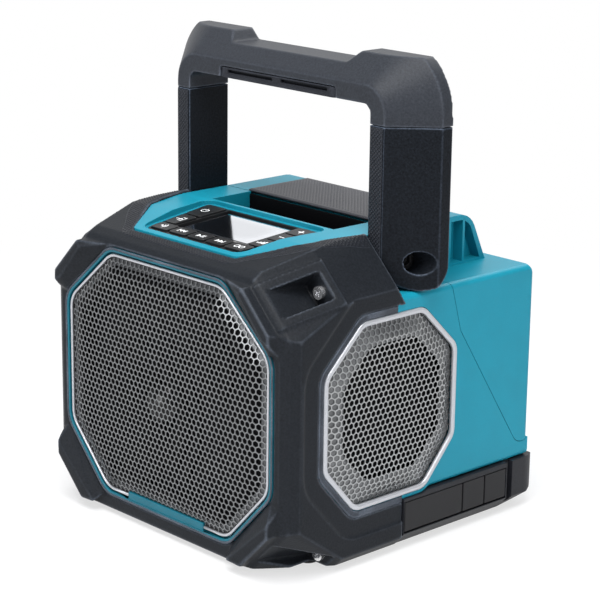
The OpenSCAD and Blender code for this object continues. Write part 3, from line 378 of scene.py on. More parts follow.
# Painted light: the front and side sheets are one silver; the side sheet's grey is a lighter copy, for the
# light that falls on the side
mesh_grey = finish_material("silver_sheet", (0.212, 0.218, 0.224), 0.3, metallic=0.85, depth=0.00001,
                            drift=0.1)
side_sheet_lit_grey = finish_material("silver_side_sheet_painted_light", (0.36, 0.368, 0.373), 0.3, metallic=0.85, depth=0.00001,
                            drift=0.1)
liner_grey = finish_material("silver_liner", (0.1, 0.103, 0.108), 0.3, metallic=0.95, depth=0.00001,
                             drift=0.1)
pale_liner = finish_material("pale_side_liner", (0.14, 0.144, 0.148), 0.4, metallic=0.3, depth=0.00001,
                             drift=0.1)
chrome = finish_material("chrome_screws", (0.9, 0.9, 0.92), 0.16, metallic=0.9, depth=0.000005, drift=0.05)
socket_steel = finish_material("socket_steel", (0.3, 0.3, 0.32), 0.5, metallic=0.5, drift=0.05)
steel = finish_material("dark_steel", (0.03, 0.031, 0.034), 0.4, metallic=0.8, depth=0.00001)
brass = finish_material("brass_bush", (0.55, 0.4, 0.16), 0.3, metallic=1.0, depth=0.00001)
black = finish_material("black_plastic", (0.003, 0.003, 0.0037), 0.6, grain=1500, specular=0.06)
cone_black = finish_material("pressed_cone", (0.003, 0.003, 0.0035), 0.6, grain=2500, depth=0.00008,
                             specular=0.05)
cap_gloss = finish_material("gloss_cap", (0.003, 0.003, 0.0035), 0.14, depth=0.000005, specular=0.45)
key_black = finish_material("key_rubber", (0.006, 0.006, 0.007), 0.44, grain=2200, depth=0.00002,
                            specular=0.4)
lens_black = finish_material("display_glass", (0.003, 0.003, 0.004), 0.06, depth=0.0000005, drift=0.02,
                             coat=0.8)
screen_mirror = finish_material("display_film", (0.74, 0.76, 0.8), 0.08, metallic=1.0, depth=0.0000005,
                                drift=0.03)
screen_grey = finish_material("display_panel", (0.2, 0.22, 0.23), 0.5)
board_green = finish_material("circuit_board", (0.012, 0.09, 0.035), 0.45)
mark_white = finish_material("key_print", (0.78, 0.79, 0.8), 0.5, depth=0.000005, drift=0.03)


# Pieces from surfaces

def add_piece(name, points, faces, material, body, smooth=True, nodes=()):
    """A mesh object from points and faces that rides on a body and may stand for CAD nodes."""
    mesh = bpy.data.meshes.new(name)
    mesh.from_pydata(points.tolist(), [], faces.tolist() if isinstance(faces, np.ndarray) else faces)
    mesh.polygons.foreach_set("use_smooth", np.full(len(mesh.polygons), smooth))
    mesh.materials.append(material)
    mesh.update()
    piece = bpy.data.objects.new(name, mesh)
    bpy.context.scene.collection.objects.link(piece)
    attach(piece, body)
    if nodes:
        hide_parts(*nodes)
    return piece


def thicken(piece, thickness):
    """Gives a sheet its thickness, behind its face."""
    solid = piece.modifiers.new("sheet", "SOLIDIFY")
    solid.thickness = thickness
    solid.offset = -1


def grid_faces(rows, columns, wrap=False):
    """Quads of a grid of points stored row by row; wrap joins the last column to the first."""
    i, j = np.meshgrid(np.arange(rows - 1), np.arange(columns if wrap else columns - 1), indexing="ij")
    k = (j + 1) % columns
    here = i * columns
    above = here + columns
    return np.stack([here + j, here + k, above + k, above + j], -1).reshape(-1, 4)


def facing(faces, sign):
    """The faces of a right side's piece, or turned over for the mirrored left side."""
    return faces if sign > 0 else faces[:, ::-1]


def unit(vectors):
    """Each vector divided by its length."""
    return vectors / np.linalg.norm(vectors, axis=1, keepdims=True)


def inside_distance(points, outline):
    """Least distance from points to an outline's edges, positive inside: the cross product of each
    edge's direction with the point's offset from its start."""
    along = unit(np.roll(outline, -1, 0) - outline)
    offset = points[:, None, :] - outline[None]
    return (along[None, :, 0] * offset[:, :, 1] - along[None, :, 1] * offset[:, :, 0]).min(1)


def moved_in(outline, distance):
    """Outline moved inwards: each corner goes to the meeting point of its two shifted edges."""
    u = unit(outline - np.roll(outline, 1, 0))
    v = unit(np.roll(outline, -1, 0) - outline)
    nu = np.stack([-u[:, 1], u[:, 0]], 1)
    nv = np.stack([-v[:, 1], v[:, 0]], 1)
    return outline + distance * (nu + nv) / (1 + (nu * nv).sum(1, keepdims=True))


def rounded_edge(outline, distance, radius):
    """Closed outline moved inwards, with an arc of the given radius at each corner. The arc's centre lies
    radius / sin(half the corner's angle) along the bisector, and its ends lie radius / tan(that half) along
    the edges."""
    corner = moved_in(outline, distance)
    u = unit(np.roll(corner, 1, 0) - corner)
    v = unit(np.roll(corner, -1, 0) - corner)
    half = np.arccos((u * v).sum(1)) / 2
    centre = corner + unit(u + v) * (radius / np.sin(half))[:, None]
    first = corner + u * (radius / np.tan(half))[:, None] - centre
    sweep = np.linspace(0, 1, ARC_POINTS) * (np.pi - 2 * half)[:, None]
    angle = np.arctan2(first[:, 1], first[:, 0])[:, None] + sweep
    return (centre[:, None, :] + radius * np.stack([np.cos(angle), np.sin(angle)], -1)).reshape(-1, 2)


def front_line(distance):
    """The front opening's rounded outline, moved inwards; its corner radius falls by half the distance."""
    return rounded_edge(FRONT_EDGE, distance, max(FRONT_R - distance / 2, LEAST_R))


def side_line(distance):
    """The side opening's rounded outline, moved inwards in the same way."""
    return rounded_edge(SIDE_EDGE, distance, max(SIDE_R - distance / 2, LEAST_R))


def outline_rows(line, insets):
    """Points of an outline moved inwards by each inset, one row after the other."""
    return np.concatenate([line(inset) for inset in insets])


def open_run(line, corners, start, end):
    """The arcs of some corners of an outline, with a point on the level edge before them and one on the edge
    after them."""
    arcs = line[ARC_POINTS * corners[0]:ARC_POINTS * corners[1]]
    return np.concatenate([[[start, arcs[0, 1]]], arcs, [[end, arcs[-1, 1]]]])


def front_place(flat, depth):
    """Points (x, z about the axis) and a depth behind the trim, put in the speaker's frame."""
    return np.stack([flat[:, 0], FRONT_Y + depth, AXIS_Z + flat[:, 1]], 1)


def side_place(flat, height, sign):
    """Points (y, z about the side opening) and a height over the side face, on the right or left side."""
    return np.stack([sign * (SIDE_X + height), SIDE_MID[0] + flat[:, 0], SIDE_MID[1] + flat[:, 1]], 1)


def smooth_step(t):
    """Cubic ease from 0 to 1."""
    t = np.clip(t, 0, 1)
    return t * t * (3 - 2 * t)


def hole_sheet(centres):
    """Perforated sheet: round each centre, a ring of quads from a six-sided cell's border to a hole with
    softer corners. Border points lie at half the pitch on the cell's edges and at pitch / sqrt(3) on its
    corners, and points that neighbouring cells share are merged."""
    k = np.arange(HOLE_POINTS)
    on_edge = k % 2 == 0
    angle = k * np.pi / (HOLE_POINTS // 2)
    ray = np.stack([np.cos(angle), np.sin(angle)], 1)
    border = np.where(on_edge, PITCH / 2, PITCH / math.sqrt(3))
    reach = np.where(on_edge, HOLE / 2, HOLE * HOLE_CORNER)
    outer = centres[:, None, :] + ray * border[:, None]
    inner = centres[:, None, :] + ray * reach[:, None]
    points = np.concatenate([outer, inner], 1).reshape(-1, 2)
    after = (k + 1) % HOLE_POINTS
    ring = np.stack([k, after, after + HOLE_POINTS, k + HOLE_POINTS], 1)
    faces = (np.arange(len(centres))[:, None, None] * 2 * HOLE_POINTS + ring[None]).reshape(-1, 4)
    cells = np.round(points / MERGE_STEP).astype(np.int64)
    first, back = np.unique(cells, axis=0, return_index=True, return_inverse=True)[1:]
    return points[first], back.reshape(-1)[faces]


def staggered(outline, margin):
    """Centres of a staggered grid that lie inside an outline by a margin."""
    count = np.arange(-GRID_REACH, GRID_REACH + 1)
    i, j = np.meshgrid(count, count, indexing="ij")
    grid = np.stack([(i + 0.5 * (j % 2)) * PITCH, j * PITCH * math.sqrt(3) / 2], -1).reshape(-1, 2)
    return grid[inside_distance(grid, outline) > margin]


def front_crown(flat):
    """Depth of the front sheet: a short steep rise near its edge and a wide gentle one, the first a cubic
    ease and the second the upper half of a parabola, to a crown 2.9 mm proud of the trim."""
    inward = inside_distance(flat, front_line(0))
    steep = smooth_step((inward - STEEP_START) / STEEP_WIDTH)
    gentle = 1 - (1 - np.clip(inward / GENTLE_WIDTH, 0, 1)) ** 2
    return CROWN_EDGE - STEEP_RISE * steep - GENTLE_RISE * gentle


def side_crown(flat):
    """Height of a side sheet: a cubic ease from the ring's edge up to a flat round crown.
    The share of the way is the distance from the ring over its sum with the distance to the circle."""
    inward = np.maximum(inside_distance(flat, side_line(SIDE_RING_W)), 0)
    outward = np.maximum(np.linalg.norm(flat, axis=1) - OPEN_R, 0)
    return -SIDE_SUNK + SIDE_RISE * smooth_step(inward / (inward + outward + NO_ZERO))


def front_strip(name, flat, depth, material, thickness):
    """A closed strip along the front opening, from rows of its outline and their depths."""
    faces = grid_faces(len(flat) // OUTLINE_POINTS, OUTLINE_POINTS, True)
    thicken(add_piece(name, front_place(flat, depth), faces, material, "cabinet"), thickness)


def build_front_sheet():
    """Front sheet whose border cells run under the silver ring, a silver liner and a wider black sheet of
    painted shade behind its outer rows, and a dark line of painted shadow along the ring."""
    flat, faces = hole_sheet(staggered(front_line(0), FRONT_MARGIN))
    sheet = add_piece("front_sheet", front_place(flat, front_crown(flat)), faces, mesh_grey, "cabinet",
                      smooth=False, nodes=("front_grille",))
    thicken(sheet, SHEET_T)
    flat = outline_rows(front_line, LINER_INSETS)
    front_strip("front_liner", flat, front_crown(flat) + LINER_GAP, liner_grey, LINER_T)
    # black sheet of painted shade behind the outer rows
    flat = outline_rows(front_line, PAINTED_SHADE_INSETS)
    front_strip("front_painted_shade", flat, front_crown(flat) + PAINTED_SHADE_GAP, black, LINER_T)
    # dark line of painted shadow along the ring
    flat = outline_rows(front_line, SHADOW_LINE_INSETS)
    front_strip("front_shadow_line", flat, np.repeat(SHADOW_LINE_DEPTHS, OUTLINE_POINTS), rubber, SHADOW_LINE_T)


def ring_profile(width, rise):
    """Insets and heights over a ring's width: a cosine spread, and a sine to a small power as a flat dome."""
    t = np.linspace(0, np.pi, RING_ROWS)
    return width * (1 - np.cos(t)) / 2, rise * np.abs(np.sin(t)) ** RING_POWER


def build_front_ring():
    """Silver ring of the front as a flat dome, open at the trim's tab, and the dark lip of the opening."""
    insets, rise = ring_profile(FRONT_RING_W, FRONT_RING_RISE)
    corners = (0, len(FRONT_EDGE))
    rows = [open_run(front_line(FRONT_RING_INSET + d), corners, TAB_HALF, -TAB_HALF) for d in insets]
    columns = len(rows[0])
    points = front_place(np.concatenate(rows), np.repeat(RING_SUNK - rise, columns))
    ring = add_piece("front_ring_band", points, grid_faces(RING_ROWS, columns), silver, "cabinet",
                     nodes=("front_ring",))
    thicken(ring, RING_T)
    flat = outline_rows(front_line, LIP_INSETS)
    front_strip("front_lip", flat, np.repeat(LIP_DEPTHS, OUTLINE_POINTS), charcoal, LIP_T)


def build_side_ring(sign, name):
    """Silver ring of a side as a flat dome, and the bumper's dark lip round its front half."""
    insets, rise = ring_profile(SIDE_RING_W, SIDE_RING_RISE)
    points = side_place(outline_rows(side_line, insets), np.repeat(rise - RING_SUNK, OUTLINE_POINTS), sign)
    faces = facing(grid_faces(RING_ROWS, OUTLINE_POINTS, True), sign)
    ring = add_piece("side_ring_band_" + name, points, faces, silver, "cabinet",
                     nodes=("side_ring_" + name,))
    thicken(ring, RING_T)
    corners = (len(SIDE_EDGE) // 2, len(SIDE_EDGE))
    rows = [open_run(side_line(d), corners, *SIDE_LIP_ENDS) for d in SIDE_LIP_INSETS]
    columns = len(rows[0])
    points = side_place(np.concatenate(rows), np.repeat(SIDE_LIP_HEIGHTS, columns), sign)
    faces = facing(grid_faces(len(rows), columns), sign)
    thicken(add_piece("side_lip_" + name, points, faces, charcoal, "cabinet"), LIP_T)


def build_side_sheet(sign, name):
    """Side sheet with its round crown, and the pale liner behind the slope round it."""
    flat, faces = hole_sheet(staggered(side_line(0), SIDE_MARGIN))
    # the side sheet's lighter grey is painted light
    sheet = add_piece("side_sheet_" + name, side_place(flat, side_crown(flat), sign), facing(faces, sign),
                      side_sheet_lit_grey, "cabinet", smooth=False, nodes=("side_grille_" + name,))
    thicken(sheet, SHEET_T)
    edge = side_line(SIDE_LINER_INSET)
    bearing = np.arctan2(edge[:, 1], edge[:, 0])
    circle = (OPEN_R + SIDE_LINER_OVERLAP) * np.stack([np.cos(bearing), np.sin(bearing)], 1)
    share = np.linspace(0, 1, SIDE_LINER_ROWS)[:, None, None]
    flat = (edge * (1 - share) + circle * share).reshape(-1, 2)
    points = side_place(flat, side_crown(flat) - LINER_GAP, sign)
    faces = facing(grid_faces(SIDE_LINER_ROWS, OUTLINE_POINTS, True), sign)
    thicken(add_piece("side_liner_" + name, points, faces, pale_liner, "cabinet"), SIDE_LINER_T)


def knurl(u, v, pitch, height):
    """Height of a diamond knurl: the root of the product of two raised sine waves along the two diagonals."""
    first = 0.5 + 0.5 * np.sin(2 * np.pi * (u + v) / pitch)
    second = 0.5 + 0.5 * np.sin(2 * np.pi * (u - v) / pitch)
    return height * np.sqrt(first * second)


def bumper_top(x, y):
    """Height of the bumper's upper surface: the soft minimum of its flat top and its bevels,
    -b log(exp(-top / b) + exp(-bevel / b)) with the blend length b."""
    behind = y - FRONT_Y
    flat = np.interp(behind, LOFT_S, LOFT_TOP)
    bevel = np.interp(behind, LOFT_S, LOFT_UP) - np.abs(x)
    return AXIS_Z - TOP_BLEND * np.log(np.exp(-flat / TOP_BLEND) + np.exp(-bevel / TOP_BLEND))


def rim_path():
    """Places along the panel's whole edge, smoothed by a raised cosine window, and the lengths to them."""
    edge = np.concatenate([PANEL_EDGE, PANEL_EDGE[::-1] * [-1, 1]])
    step = np.linalg.norm(np.diff(edge, axis=0), axis=1)
    run = np.concatenate([[0], np.cumsum(step)])
    along = np.linspace(0, run[-1], RIM_COLUMNS)
    path = np.stack([np.interp(along, run, edge[:, 0]), np.interp(along, run, edge[:, 1])], 1)
    window = np.hanning(RIM_SPAN) / np.hanning(RIM_SPAN).sum()
    extra = RIM_SPAN // 2
    padded = np.concatenate([np.repeat(path[:1], extra, 0), path, np.repeat(path[-1:], extra, 0)])
    return np.stack([np.convolve(padded[:, k], window, "valid") for k in (0, 1)], 1), along


def rim_width(y):
    """Width of the rim band: narrow at the front, widest along the panel's cut corners, then narrower."""
    gain = RIM_GAIN[0] * smooth_step((y - RIM_GAIN[1]) / RIM_GAIN[2])
    loss = RIM_LOSS[0] * smooth_step((y - RIM_LOSS[1]) / RIM_LOSS[2])
    return RIM_WIDTH + gain - loss


def build_rim_band():
    """Knurled band on the bumper's rim: the panel's edge moved outwards row by row."""
    path, along = rim_path()
    lead = unit(np.gradient(path, axis=0))
    outward = np.stack([lead[:, 1], -lead[:, 0]], 1)
    share = np.linspace(0, 1, RIM_ROWS)
    reach = RIM_START + share[:, None] * rim_width(path[:, 1])
    flat = path + reach[:, :, None] * outward
    ridge = knurl(np.broadcast_to(along, reach.shape), reach, RIM_PITCH, RIM_HEIGHT)
    fade = smooth_step(share / RIM_FADE) * smooth_step((1 - share) / RIM_FADE)
    height = bumper_top(flat[..., 0], flat[..., 1]) + RIM_LIFT + ridge * fade[:, None]
    points = np.concatenate([flat, height[..., None]], -1).reshape(-1, 3)
    faces = grid_faces(RIM_ROWS, RIM_COLUMNS)[:, ::-1]
    thicken(add_piece("rim_band", points, faces, knurl_black, "cabinet"), RIM_T)


def edge_distance(x, y, x_ends, y_ends):
    """Least distance to the sides of a rectangle."""
    return np.minimum(np.minimum(x - x_ends[0], x_ends[1] - x), np.minimum(y - y_ends[0], y_ends[1] - y))


def build_leg_bands():
    """Knurled strips on the front faces of the handle's legs."""
    across = np.linspace(*LEG_ACROSS, LEG_ROWS)
    across, up = np.meshgrid(across, np.linspace(*LEG_UP, LEG_COLUMNS), indexing="ij")
    fade = smooth_step(edge_distance(across, up, LEG_ACROSS, LEG_UP) / LEG_FADE)
    depth = LEG_FRONT_Y - LEG_LIFT - knurl(across, up, LEG_PITCH, LEG_HEIGHT) * fade
    for sign, name in SIDES:
        points = np.stack([sign * across, depth, up], -1).reshape(-1, 3)
        faces = facing(grid_faces(LEG_ROWS, LEG_COLUMNS), sign)
        thicken(add_piece("leg_band_" + name, points, faces, knurl_black, "handle"), LEG_T)


def build_pad():
    """Rubber pad on the cover: a fine diamond knurl inside a plain border."""
    low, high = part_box("top_pad")
    x_ends = (low[0], high[0])
    y_ends = (low[1], high[1])
    x, y = np.meshgrid(np.linspace(*x_ends, PAD_ROWS), np.linspace(*y_ends, PAD_COLUMNS), indexing="ij")
    edge = edge_distance(x, y, x_ends, y_ends)
    rim = PAD_RIM * (1 - smooth_step(edge / PAD_RIM_W))
    fade = smooth_step((edge - PAD_BORDER) / PAD_FADE)
    z = high[2] - PAD_DROP - rim + knurl(x, y, PAD_PITCH, PAD_HEIGHT) * fade
    pad = add_piece("pad_top", np.stack([x, y, z], -1).reshape(-1, 3), grid_faces(PAD_ROWS, PAD_COLUMNS),
                    pad_grey, "cover", nodes=("top_pad",))
    thicken(pad, PAD_T)


# CAD shells with rounded edges

def copy_node(node, body, material):
    """A copy of a CAD node with its points merged and its flat faces dissolved, to stand for that node."""
    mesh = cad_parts[node].data.copy()
    work = bmesh.new()
    work.from_mesh(mesh)
    bmesh.ops.remove_doubles(work, verts=work.verts, dist=MERGE_DISTANCE)
    bmesh.ops.dissolve_limit(work, angle_limit=FLAT_ANGLE, verts=work.verts, edges=work.edges)
    work.to_mesh(mesh)
    work.free()
    mesh.name = node + "_soft"
    mesh.polygons.foreach_set("use_smooth", np.full(len(mesh.polygons), True))
    mesh.materials.clear()
    mesh.materials.append(material)
    piece = bpy.data.objects.new(node + "_soft", mesh)
    bpy.context.scene.collection.objects.link(piece)
    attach(piece, body)
    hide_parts(node)
    return piece


def soften(node, body, material, width, segments=2):
    """A copy of a CAD node with its sharp edges rounded by a bevel."""
    piece = copy_node(node, body, material)
    bevel = piece.modifiers.new("edges", "BEVEL")
    bevel.width = width
    bevel.segments = segments
    bevel.limit_method = "ANGLE"
    bevel.angle_limit = SHARP_ANGLE
    bevel.use_clamp_overlap = True
    even = piece.modifiers.new("even_normals", "WEIGHTED_NORMAL")
    even.weight = 100
    even.keep_sharp = True


def melt(node, body, material, voxel, passes, kept=1.0):
    """A copy of a CAD node, remeshed on an even grid and relaxed, so that every edge of it is rounded;
    kept is the share of its faces that stay."""
    piece = copy_node(node, body, material)
    even = piece.modifiers.new("even", "REMESH")
    even.mode = "VOXEL"
    even.voxel_size = voxel
    even.use_smooth_shade = True
    relax = piece.modifiers.new("relax", "SMOOTH")
    relax.factor = 0.5
    relax.iterations = passes
    if kept < 1:
        fewer = piece.modifiers.new("fewer", "DECIMATE")
        fewer.ratio = kept
    bpy.context.view_layer.update()
    mesh = bpy.data.meshes.new_from_object(piece.evaluated_get(bpy.context.evaluated_depsgraph_get()))
    piece.modifiers.clear()
    piece.data = mesh


KEYS = ("key_power", "key_source", "key_pair", "key_previous", "key_play", "key_next", "key_link", "key_bass",
        "key_minus", "key_plus")

# Finishes of the nodes that keep their CAD shape
PLAIN = {"bumper_screws": chrome, "hinge_pins": chrome, "pivot_bushes": brass, "front_baffle": black,
         "woofer_frame": black, "woofer_magnet": steel, "woofer_surround": cone_black,
         "woofer_cone": cone_black, "dust_cap": cap_gloss, "tweeter": cone_black,
         "radiator_frame_left": black, "radiator_frame_right": black, "radiator_cone_left": cone_black,
         "radiator_cone_right": cone_black, "display_lens": lens_black, "display_module": screen_grey,
         "key_board": board_green, "main_board": board_green, "battery_terminal": black,
         "battery_pack": black, "aux_socket": socket_steel, "usb_socket": socket_steel, "dc_socket": black}


def dress_frame():
    """Gives finishes to the CAD nodes, and rounded edges to the shells that show."""
    soften("main_housing", "cabinet", teal, 0.0009)
    soften("control_panel", "cabinet", teal, 0.0008)
    soften("rear_cover", "cover", teal, 0.0012)
    # the trim gets the darker copy of the teal, as painted shade
    soften("front_trim", "cabinet", teal_shaded_copy, 0.0005)
    melt("front_bumper", "cabinet", charcoal, 0.00095, 2, 0.52)
    soften("base_tray", "cabinet", base_black, 0.0009)
    melt("handle_bar", "handle", bar_grey, 0.001, 4)
    melt("handle_leg_left", "handle", leg_black, 0.0007, 4)
    melt("handle_leg_right", "handle", leg_black, 0.0007, 4)
    soften("handle_grip", "handle", grip_grey, 0.0008)
    soften("phone_tray", "cabinet", black, 0.0004)
    soften("key_mat", "cabinet", key_black, 0.0003)
    soften("cover_latch", "latch", black, 0.0004)
    soften("pivot_bolts", "cabinet", steel, 0.0004)
    soften("flap_front", "front_flap", rubber, 0.0005)
    soften("flap_middle", "middle_flap", rubber, 0.0005)
    soften("flap_rear", "rear_flap", rubber, 0.0005)
    soften("feet", "cabinet", rubber, 0.0004)
    for key in KEYS:
        soften(key, key + "_body", key_black, 0.0005, 3)
    for node, material in PLAIN.items():
        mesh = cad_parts[node].data
        mesh.materials.clear()
        mesh.materials.append(material)


# Printed marks on the keys

def panel_place(flat, height):
    """Points on the key panel (across, then up its slope) and a height over it, in the speaker's frame:
    a turn by the panel's tilt about its front edge."""
    cos = math.cos(PANEL_TILT)
    sin = math.sin(PANEL_TILT)
    slope = np.stack([flat[:, 1], np.full(len(flat), height)], 1) @ np.array([[cos, -sin], [sin, cos]]).T
    return np.stack([flat[:, 0], PANEL_Y + slope[:, 0], PANEL_Z + slope[:, 1]], 1)


def stroke(path, width=0.55):
    """A flat band along a path: each point moved half the width to both sides, along the normal of the
    mean direction of the two segments that meet there."""
    path = np.asarray(path, float)
    step = unit(np.diff(path, axis=0))
    lead = np.concatenate([step[:1], step])
    mean = unit(lead + np.concatenate([step, step[-1:]]))
    normal = np.stack([-mean[:, 1], mean[:, 0]], 1) / (mean * lead).sum(1, keepdims=True)
    n = len(path)
    k = np.arange(n - 1)
    faces = np.stack([k, k + n, k + n + 1, k + 1], 1).tolist()
    return np.concatenate([path + normal * width / 2, path - normal * width / 2]), faces


def arc(middle, radius, start, end):
    """Points on a circle from one angle to another, in degrees."""
    angle = np.radians(np.linspace(start, end, MARK_ARC_POINTS))
    return np.asarray(middle) + radius * np.stack([np.cos(angle), np.sin(angle)], 1)


def wedge(x, reach, half=MARK_HALF):
    """A triangle that points along the row."""
    corners = np.array([[x, -half], [x + reach, 0], [x, half]])
    return (corners if reach > 0 else corners[::-1]), [[0, 1, 2]]


def upright(x):
    """A short bar across the row."""
    return stroke([[x, -MARK_HALF], [x, MARK_HALF]], 0.6)


# Shapes of the marks about each key's middle, and the middles on the panel, both in millimetres
MARKS = {
    "key_power": [stroke(arc((0, 0), 2.1, 125, 415)), stroke([[0, 0.5], [0, 2.8]])],
    "key_source": [stroke([[-2.6, 0], [0.4, 0]]), wedge(0.4, 1.9, 1.3),
                   stroke([[0.2, 2.2], [3, 2.2], [3, -2.2], [0.2, -2.2]])],
    "key_pair": [stroke(arc((-1.6, 0), 0.4, 0, 360), 0.7), stroke(arc((-1.6, 0), 1.8, -50, 50)),
                 stroke(arc((-1.6, 0), 3.1, -50, 50))],
    "key_previous": [wedge(0, -2.4), wedge(2.4, -2.4), upright(-2.8)],
    "key_play": [wedge(-2.6, 2.7), upright(1.0), upright(2.4)],
    "key_next": [wedge(0, 2.4), wedge(-2.4, 2.4), upright(2.8)],
    "key_link": [stroke(arc((-1.5, 0), 1.45, 0, 360)), stroke(arc((1.9, 0), 1.45, 0, 360))],
    "key_bass": [stroke([[x, -MARK_HALF], [x, top]], 0.9)
                 for x, top in ((-2, -0.4), (-0.6, 0.4), (0.8, 1.2), (2.2, 2))],
    "key_minus": [stroke([[-1.9, 0], [1.9, 0]], 0.7)],
    "key_plus": [stroke([[0, -1.9], [0, 1.9]], 0.7), stroke([[0.35, 0], [1.9, 0]], 0.7),
                 stroke([[-1.9, 0], [-0.35, 0]], 0.7)],
}
KEY_PLACES = {"key_power": (-42.6, 54.7), "key_source": (-40.7, 31.8), "key_pair": (-35.7, 14.7),
              "key_previous": (-17.5, 14.7), "key_play": (0, 14.7), "key_next": (17.5, 14.7),
              "key_link": (35.7, 14.7), "key_bass": (40.4, 29.1), "key_minus": (41.7, 44.4),
              "key_plus": (43, 59.7)}


def build_marks():
    """White marks, sunk by half their thickness into each key's top."""
    for key, shapes in MARKS.items():
        sizes = np.cumsum([0] + [len(points) for points, faces in shapes])
        outlines = np.concatenate([points for points, faces in shapes])
        flat = (MARK_SCALE * outlines + KEY_PLACES[key]) / MM_PER_M
        faces = [[k + start for k in face] for (points, block), start in zip(shapes, sizes) for face in block]
        mark = add_piece(key + "_mark", panel_place(flat, KEY_TOP + MARK_T / 2), faces, mark_white,
                         key + "_body", smooth=False)
        thicken(mark, MARK_T)


def build_display_film():
    """Mirror-like film of the display, a little over the lens and inside its black border."""
    x, y = np.meshgrid(np.linspace(*FILM_X, FILM_ROWS), np.linspace(*FILM_Y, FILM_COLUMNS), indexing="ij")
    points = panel_place(np.stack([x, y], -1).reshape(-1, 2), -LENS_DROP + FILM_LIFT)
    film = add_piece("display_film", points, grid_faces(FILM_ROWS, FILM_COLUMNS), screen_mirror, "cabinet",
                     smooth=False)
    thicken(film, FILM_T)


# Stage

def seen_rays(tree):
    """Socket that is 1 for rays that show the surroundings: camera, glossy and transmission rays."""
    path = add_node(tree, "ShaderNodeLightPath")
    total = add_node(tree, "ShaderNodeMath", {"operation": "ADD"})
    clamped = add_node(tree, "ShaderNodeMath", {"operation": "ADD", "use_clamp": True})
    tree.links.new(path.outputs["Is Camera Ray"], total.inputs[0])
    tree.links.new(path.outputs["Is Glossy Ray"], total.inputs[1])
    tree.links.new(total.outputs[0], clamped.inputs[0])
    tree.links.new(path.outputs["Is Transmission Ray"], clamped.inputs[1])
    return clamped.outputs[0]


def mix_seen(tree, measure, lit, white, end):
    """Mixes a lit shader with a white one by a measure from 0 to 1, for rays that show the surroundings."""
    share = add_node(tree, "ShaderNodeMath", {"operation": "MULTIPLY"})
    mix = add_node(tree, "ShaderNodeMixShader")
    link = tree.links.new
    link(measure, share.inputs[0])
    link(seen_rays(tree), share.inputs[1])
    link(share.outputs[0], mix.inputs["Fac"])
    link(lit, mix.inputs[1])
    link(white, mix.inputs[2])
    link(mix.outputs["Shader"], end.inputs["Surface"])


def build_floor():
    """Pale floor that keeps the shadow and turns white with distance from the speaker."""
    mesh = bpy.data.meshes.new("floor")
    far = FLOOR_HALF
    mesh.from_pydata([(-far, -far, 0), (far, -far, 0), (far, far, 0), (-far, far, 0)], [], [(0, 1, 2, 3)])
    floor = bpy.data.objects.new("floor", mesh)
    bpy.context.scene.collection.objects.link(floor)
    material = bpy.data.materials.new("pale_floor")
    material.use_nodes = True
    tree = material.node_tree
    shader = tree.nodes["Principled BSDF"]
    shader.inputs["Base Color"].default_value = (0.86, 0.86, 0.87, 1)
    shader.inputs["Roughness"].default_value = 0.8
    white = add_node(tree, "ShaderNodeEmission", None, {"Color": (1, 1, 1, 1), "Strength": 1.0})
    place = add_node(tree, "ShaderNodeTexCoord")
    length = add_node(tree, "ShaderNodeVectorMath", {"operation": "LENGTH"})
    away = add_node(tree, "ShaderNodeMapRange", None,
                    {"From Min": 0.2, "From Max": 0.75, "To Min": 0.65, "To Max": 1.0})
    tree.links.new(place.outputs["Object"], length.inputs[0])
    tree.links.new(length.outputs["Value"], away.inputs["Value"])
    mix_seen(tree, away.outputs["Result"], shader.outputs["BSDF"], white.outputs["Emission"],
             tree.nodes["Material Output"])
    mesh.materials.append(material)


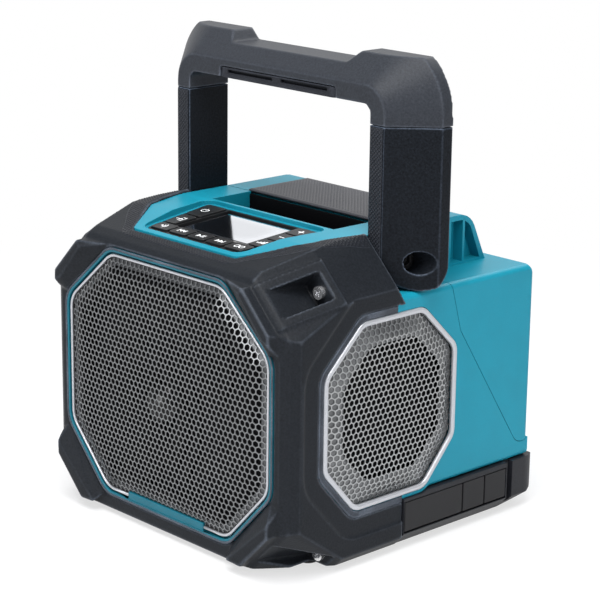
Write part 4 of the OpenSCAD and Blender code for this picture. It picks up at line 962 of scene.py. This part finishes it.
def build_world():
    """Dim world that shows white low down behind the speaker."""
    world = bpy.data.worlds.new("studio")
    bpy.context.scene.world = world
    world.use_nodes = True
    tree = world.node_tree
    lit = tree.nodes["Background"]
    lit.inputs["Color"].default_value = (0.93, 0.96, 1.0, 1)
    lit.inputs["Strength"].default_value = 0.35
    white = add_node(tree, "ShaderNodeBackground", None, {"Color": (1, 1, 1, 1), "Strength": 1.0})
    place = add_node(tree, "ShaderNodeTexCoord")
    behind = add_node(tree, "ShaderNodeVectorMath", {"operation": "DOT_PRODUCT"}, {1: WHITE_WAY})
    low = add_node(tree, "ShaderNodeMapRange", None, {"From Min": 0.1, "From Max": 0.5})
    tree.links.new(place.outputs["Generated"], behind.inputs[0])
    tree.links.new(behind.outputs["Value"], low.inputs["Value"])
    mix_seen(tree, low.outputs["Result"], lit.outputs["Background"], white.outputs["Background"],
             tree.nodes["World Output"])


def build_lamp(name, place, aim, size, watts):
    """A square area lamp at a place, turned to face a point."""
    data = bpy.data.lights.new(name, "AREA")
    data.size = size
    data.energy = watts
    lamp = bpy.data.objects.new(name, data)
    lamp.location = place
    lamp.rotation_euler = (Vector(place) - Vector(aim)).to_track_quat("Z", "Y").to_euler()
    bpy.context.scene.collection.objects.link(lamp)


def build_camera():
    """Camera at the photograph's angle: a turn, a tilt and a small roll about its line of sight."""
    turn = math.radians(VIEW_TURN)
    tilt = math.radians(VIEW_TILT)
    roll = math.radians(VIEW_ROLL)
    right = Vector((math.cos(turn), math.sin(turn), 0))
    back = Vector((math.sin(turn) * math.cos(tilt), -math.cos(turn) * math.cos(tilt), math.sin(tilt)))
    up = back.cross(right)
    across = math.cos(roll) * right + math.sin(roll) * up
    upward = -math.sin(roll) * right + math.cos(roll) * up
    place = VIEW_ACROSS * across + VIEW_UP * upward + VIEW_BACK * back + Vector((0, FRONT_Y, AXIS_Z))
    data = bpy.data.cameras.new("camera")
    data.sensor_width = SENSOR_MM
    data.lens = FOCAL_PIXELS * SENSOR_MM / PICTURE_PIXELS
    camera = bpy.data.objects.new("camera", data)
    camera.matrix_world = Matrix.Translation(place) @ Matrix((across, upward, back)).transposed().to_4x4()
    bpy.context.scene.collection.objects.link(camera)
    bpy.context.scene.camera = camera


# Assembly

dress_frame()
build_front_sheet()
build_front_ring()
for sign, name in SIDES:
    build_side_ring(sign, name)
for sign, name in SIDES:
    build_side_sheet(sign, name)
build_rim_band()
build_leg_bands()
build_pad()
build_marks()
build_display_film()
build_floor()
build_world()
for row in LAMPS:
    build_lamp(*row)
build_camera()
bpy.context.scene.view_settings.view_transform = "Standard"
bpy.context.view_layer.update()
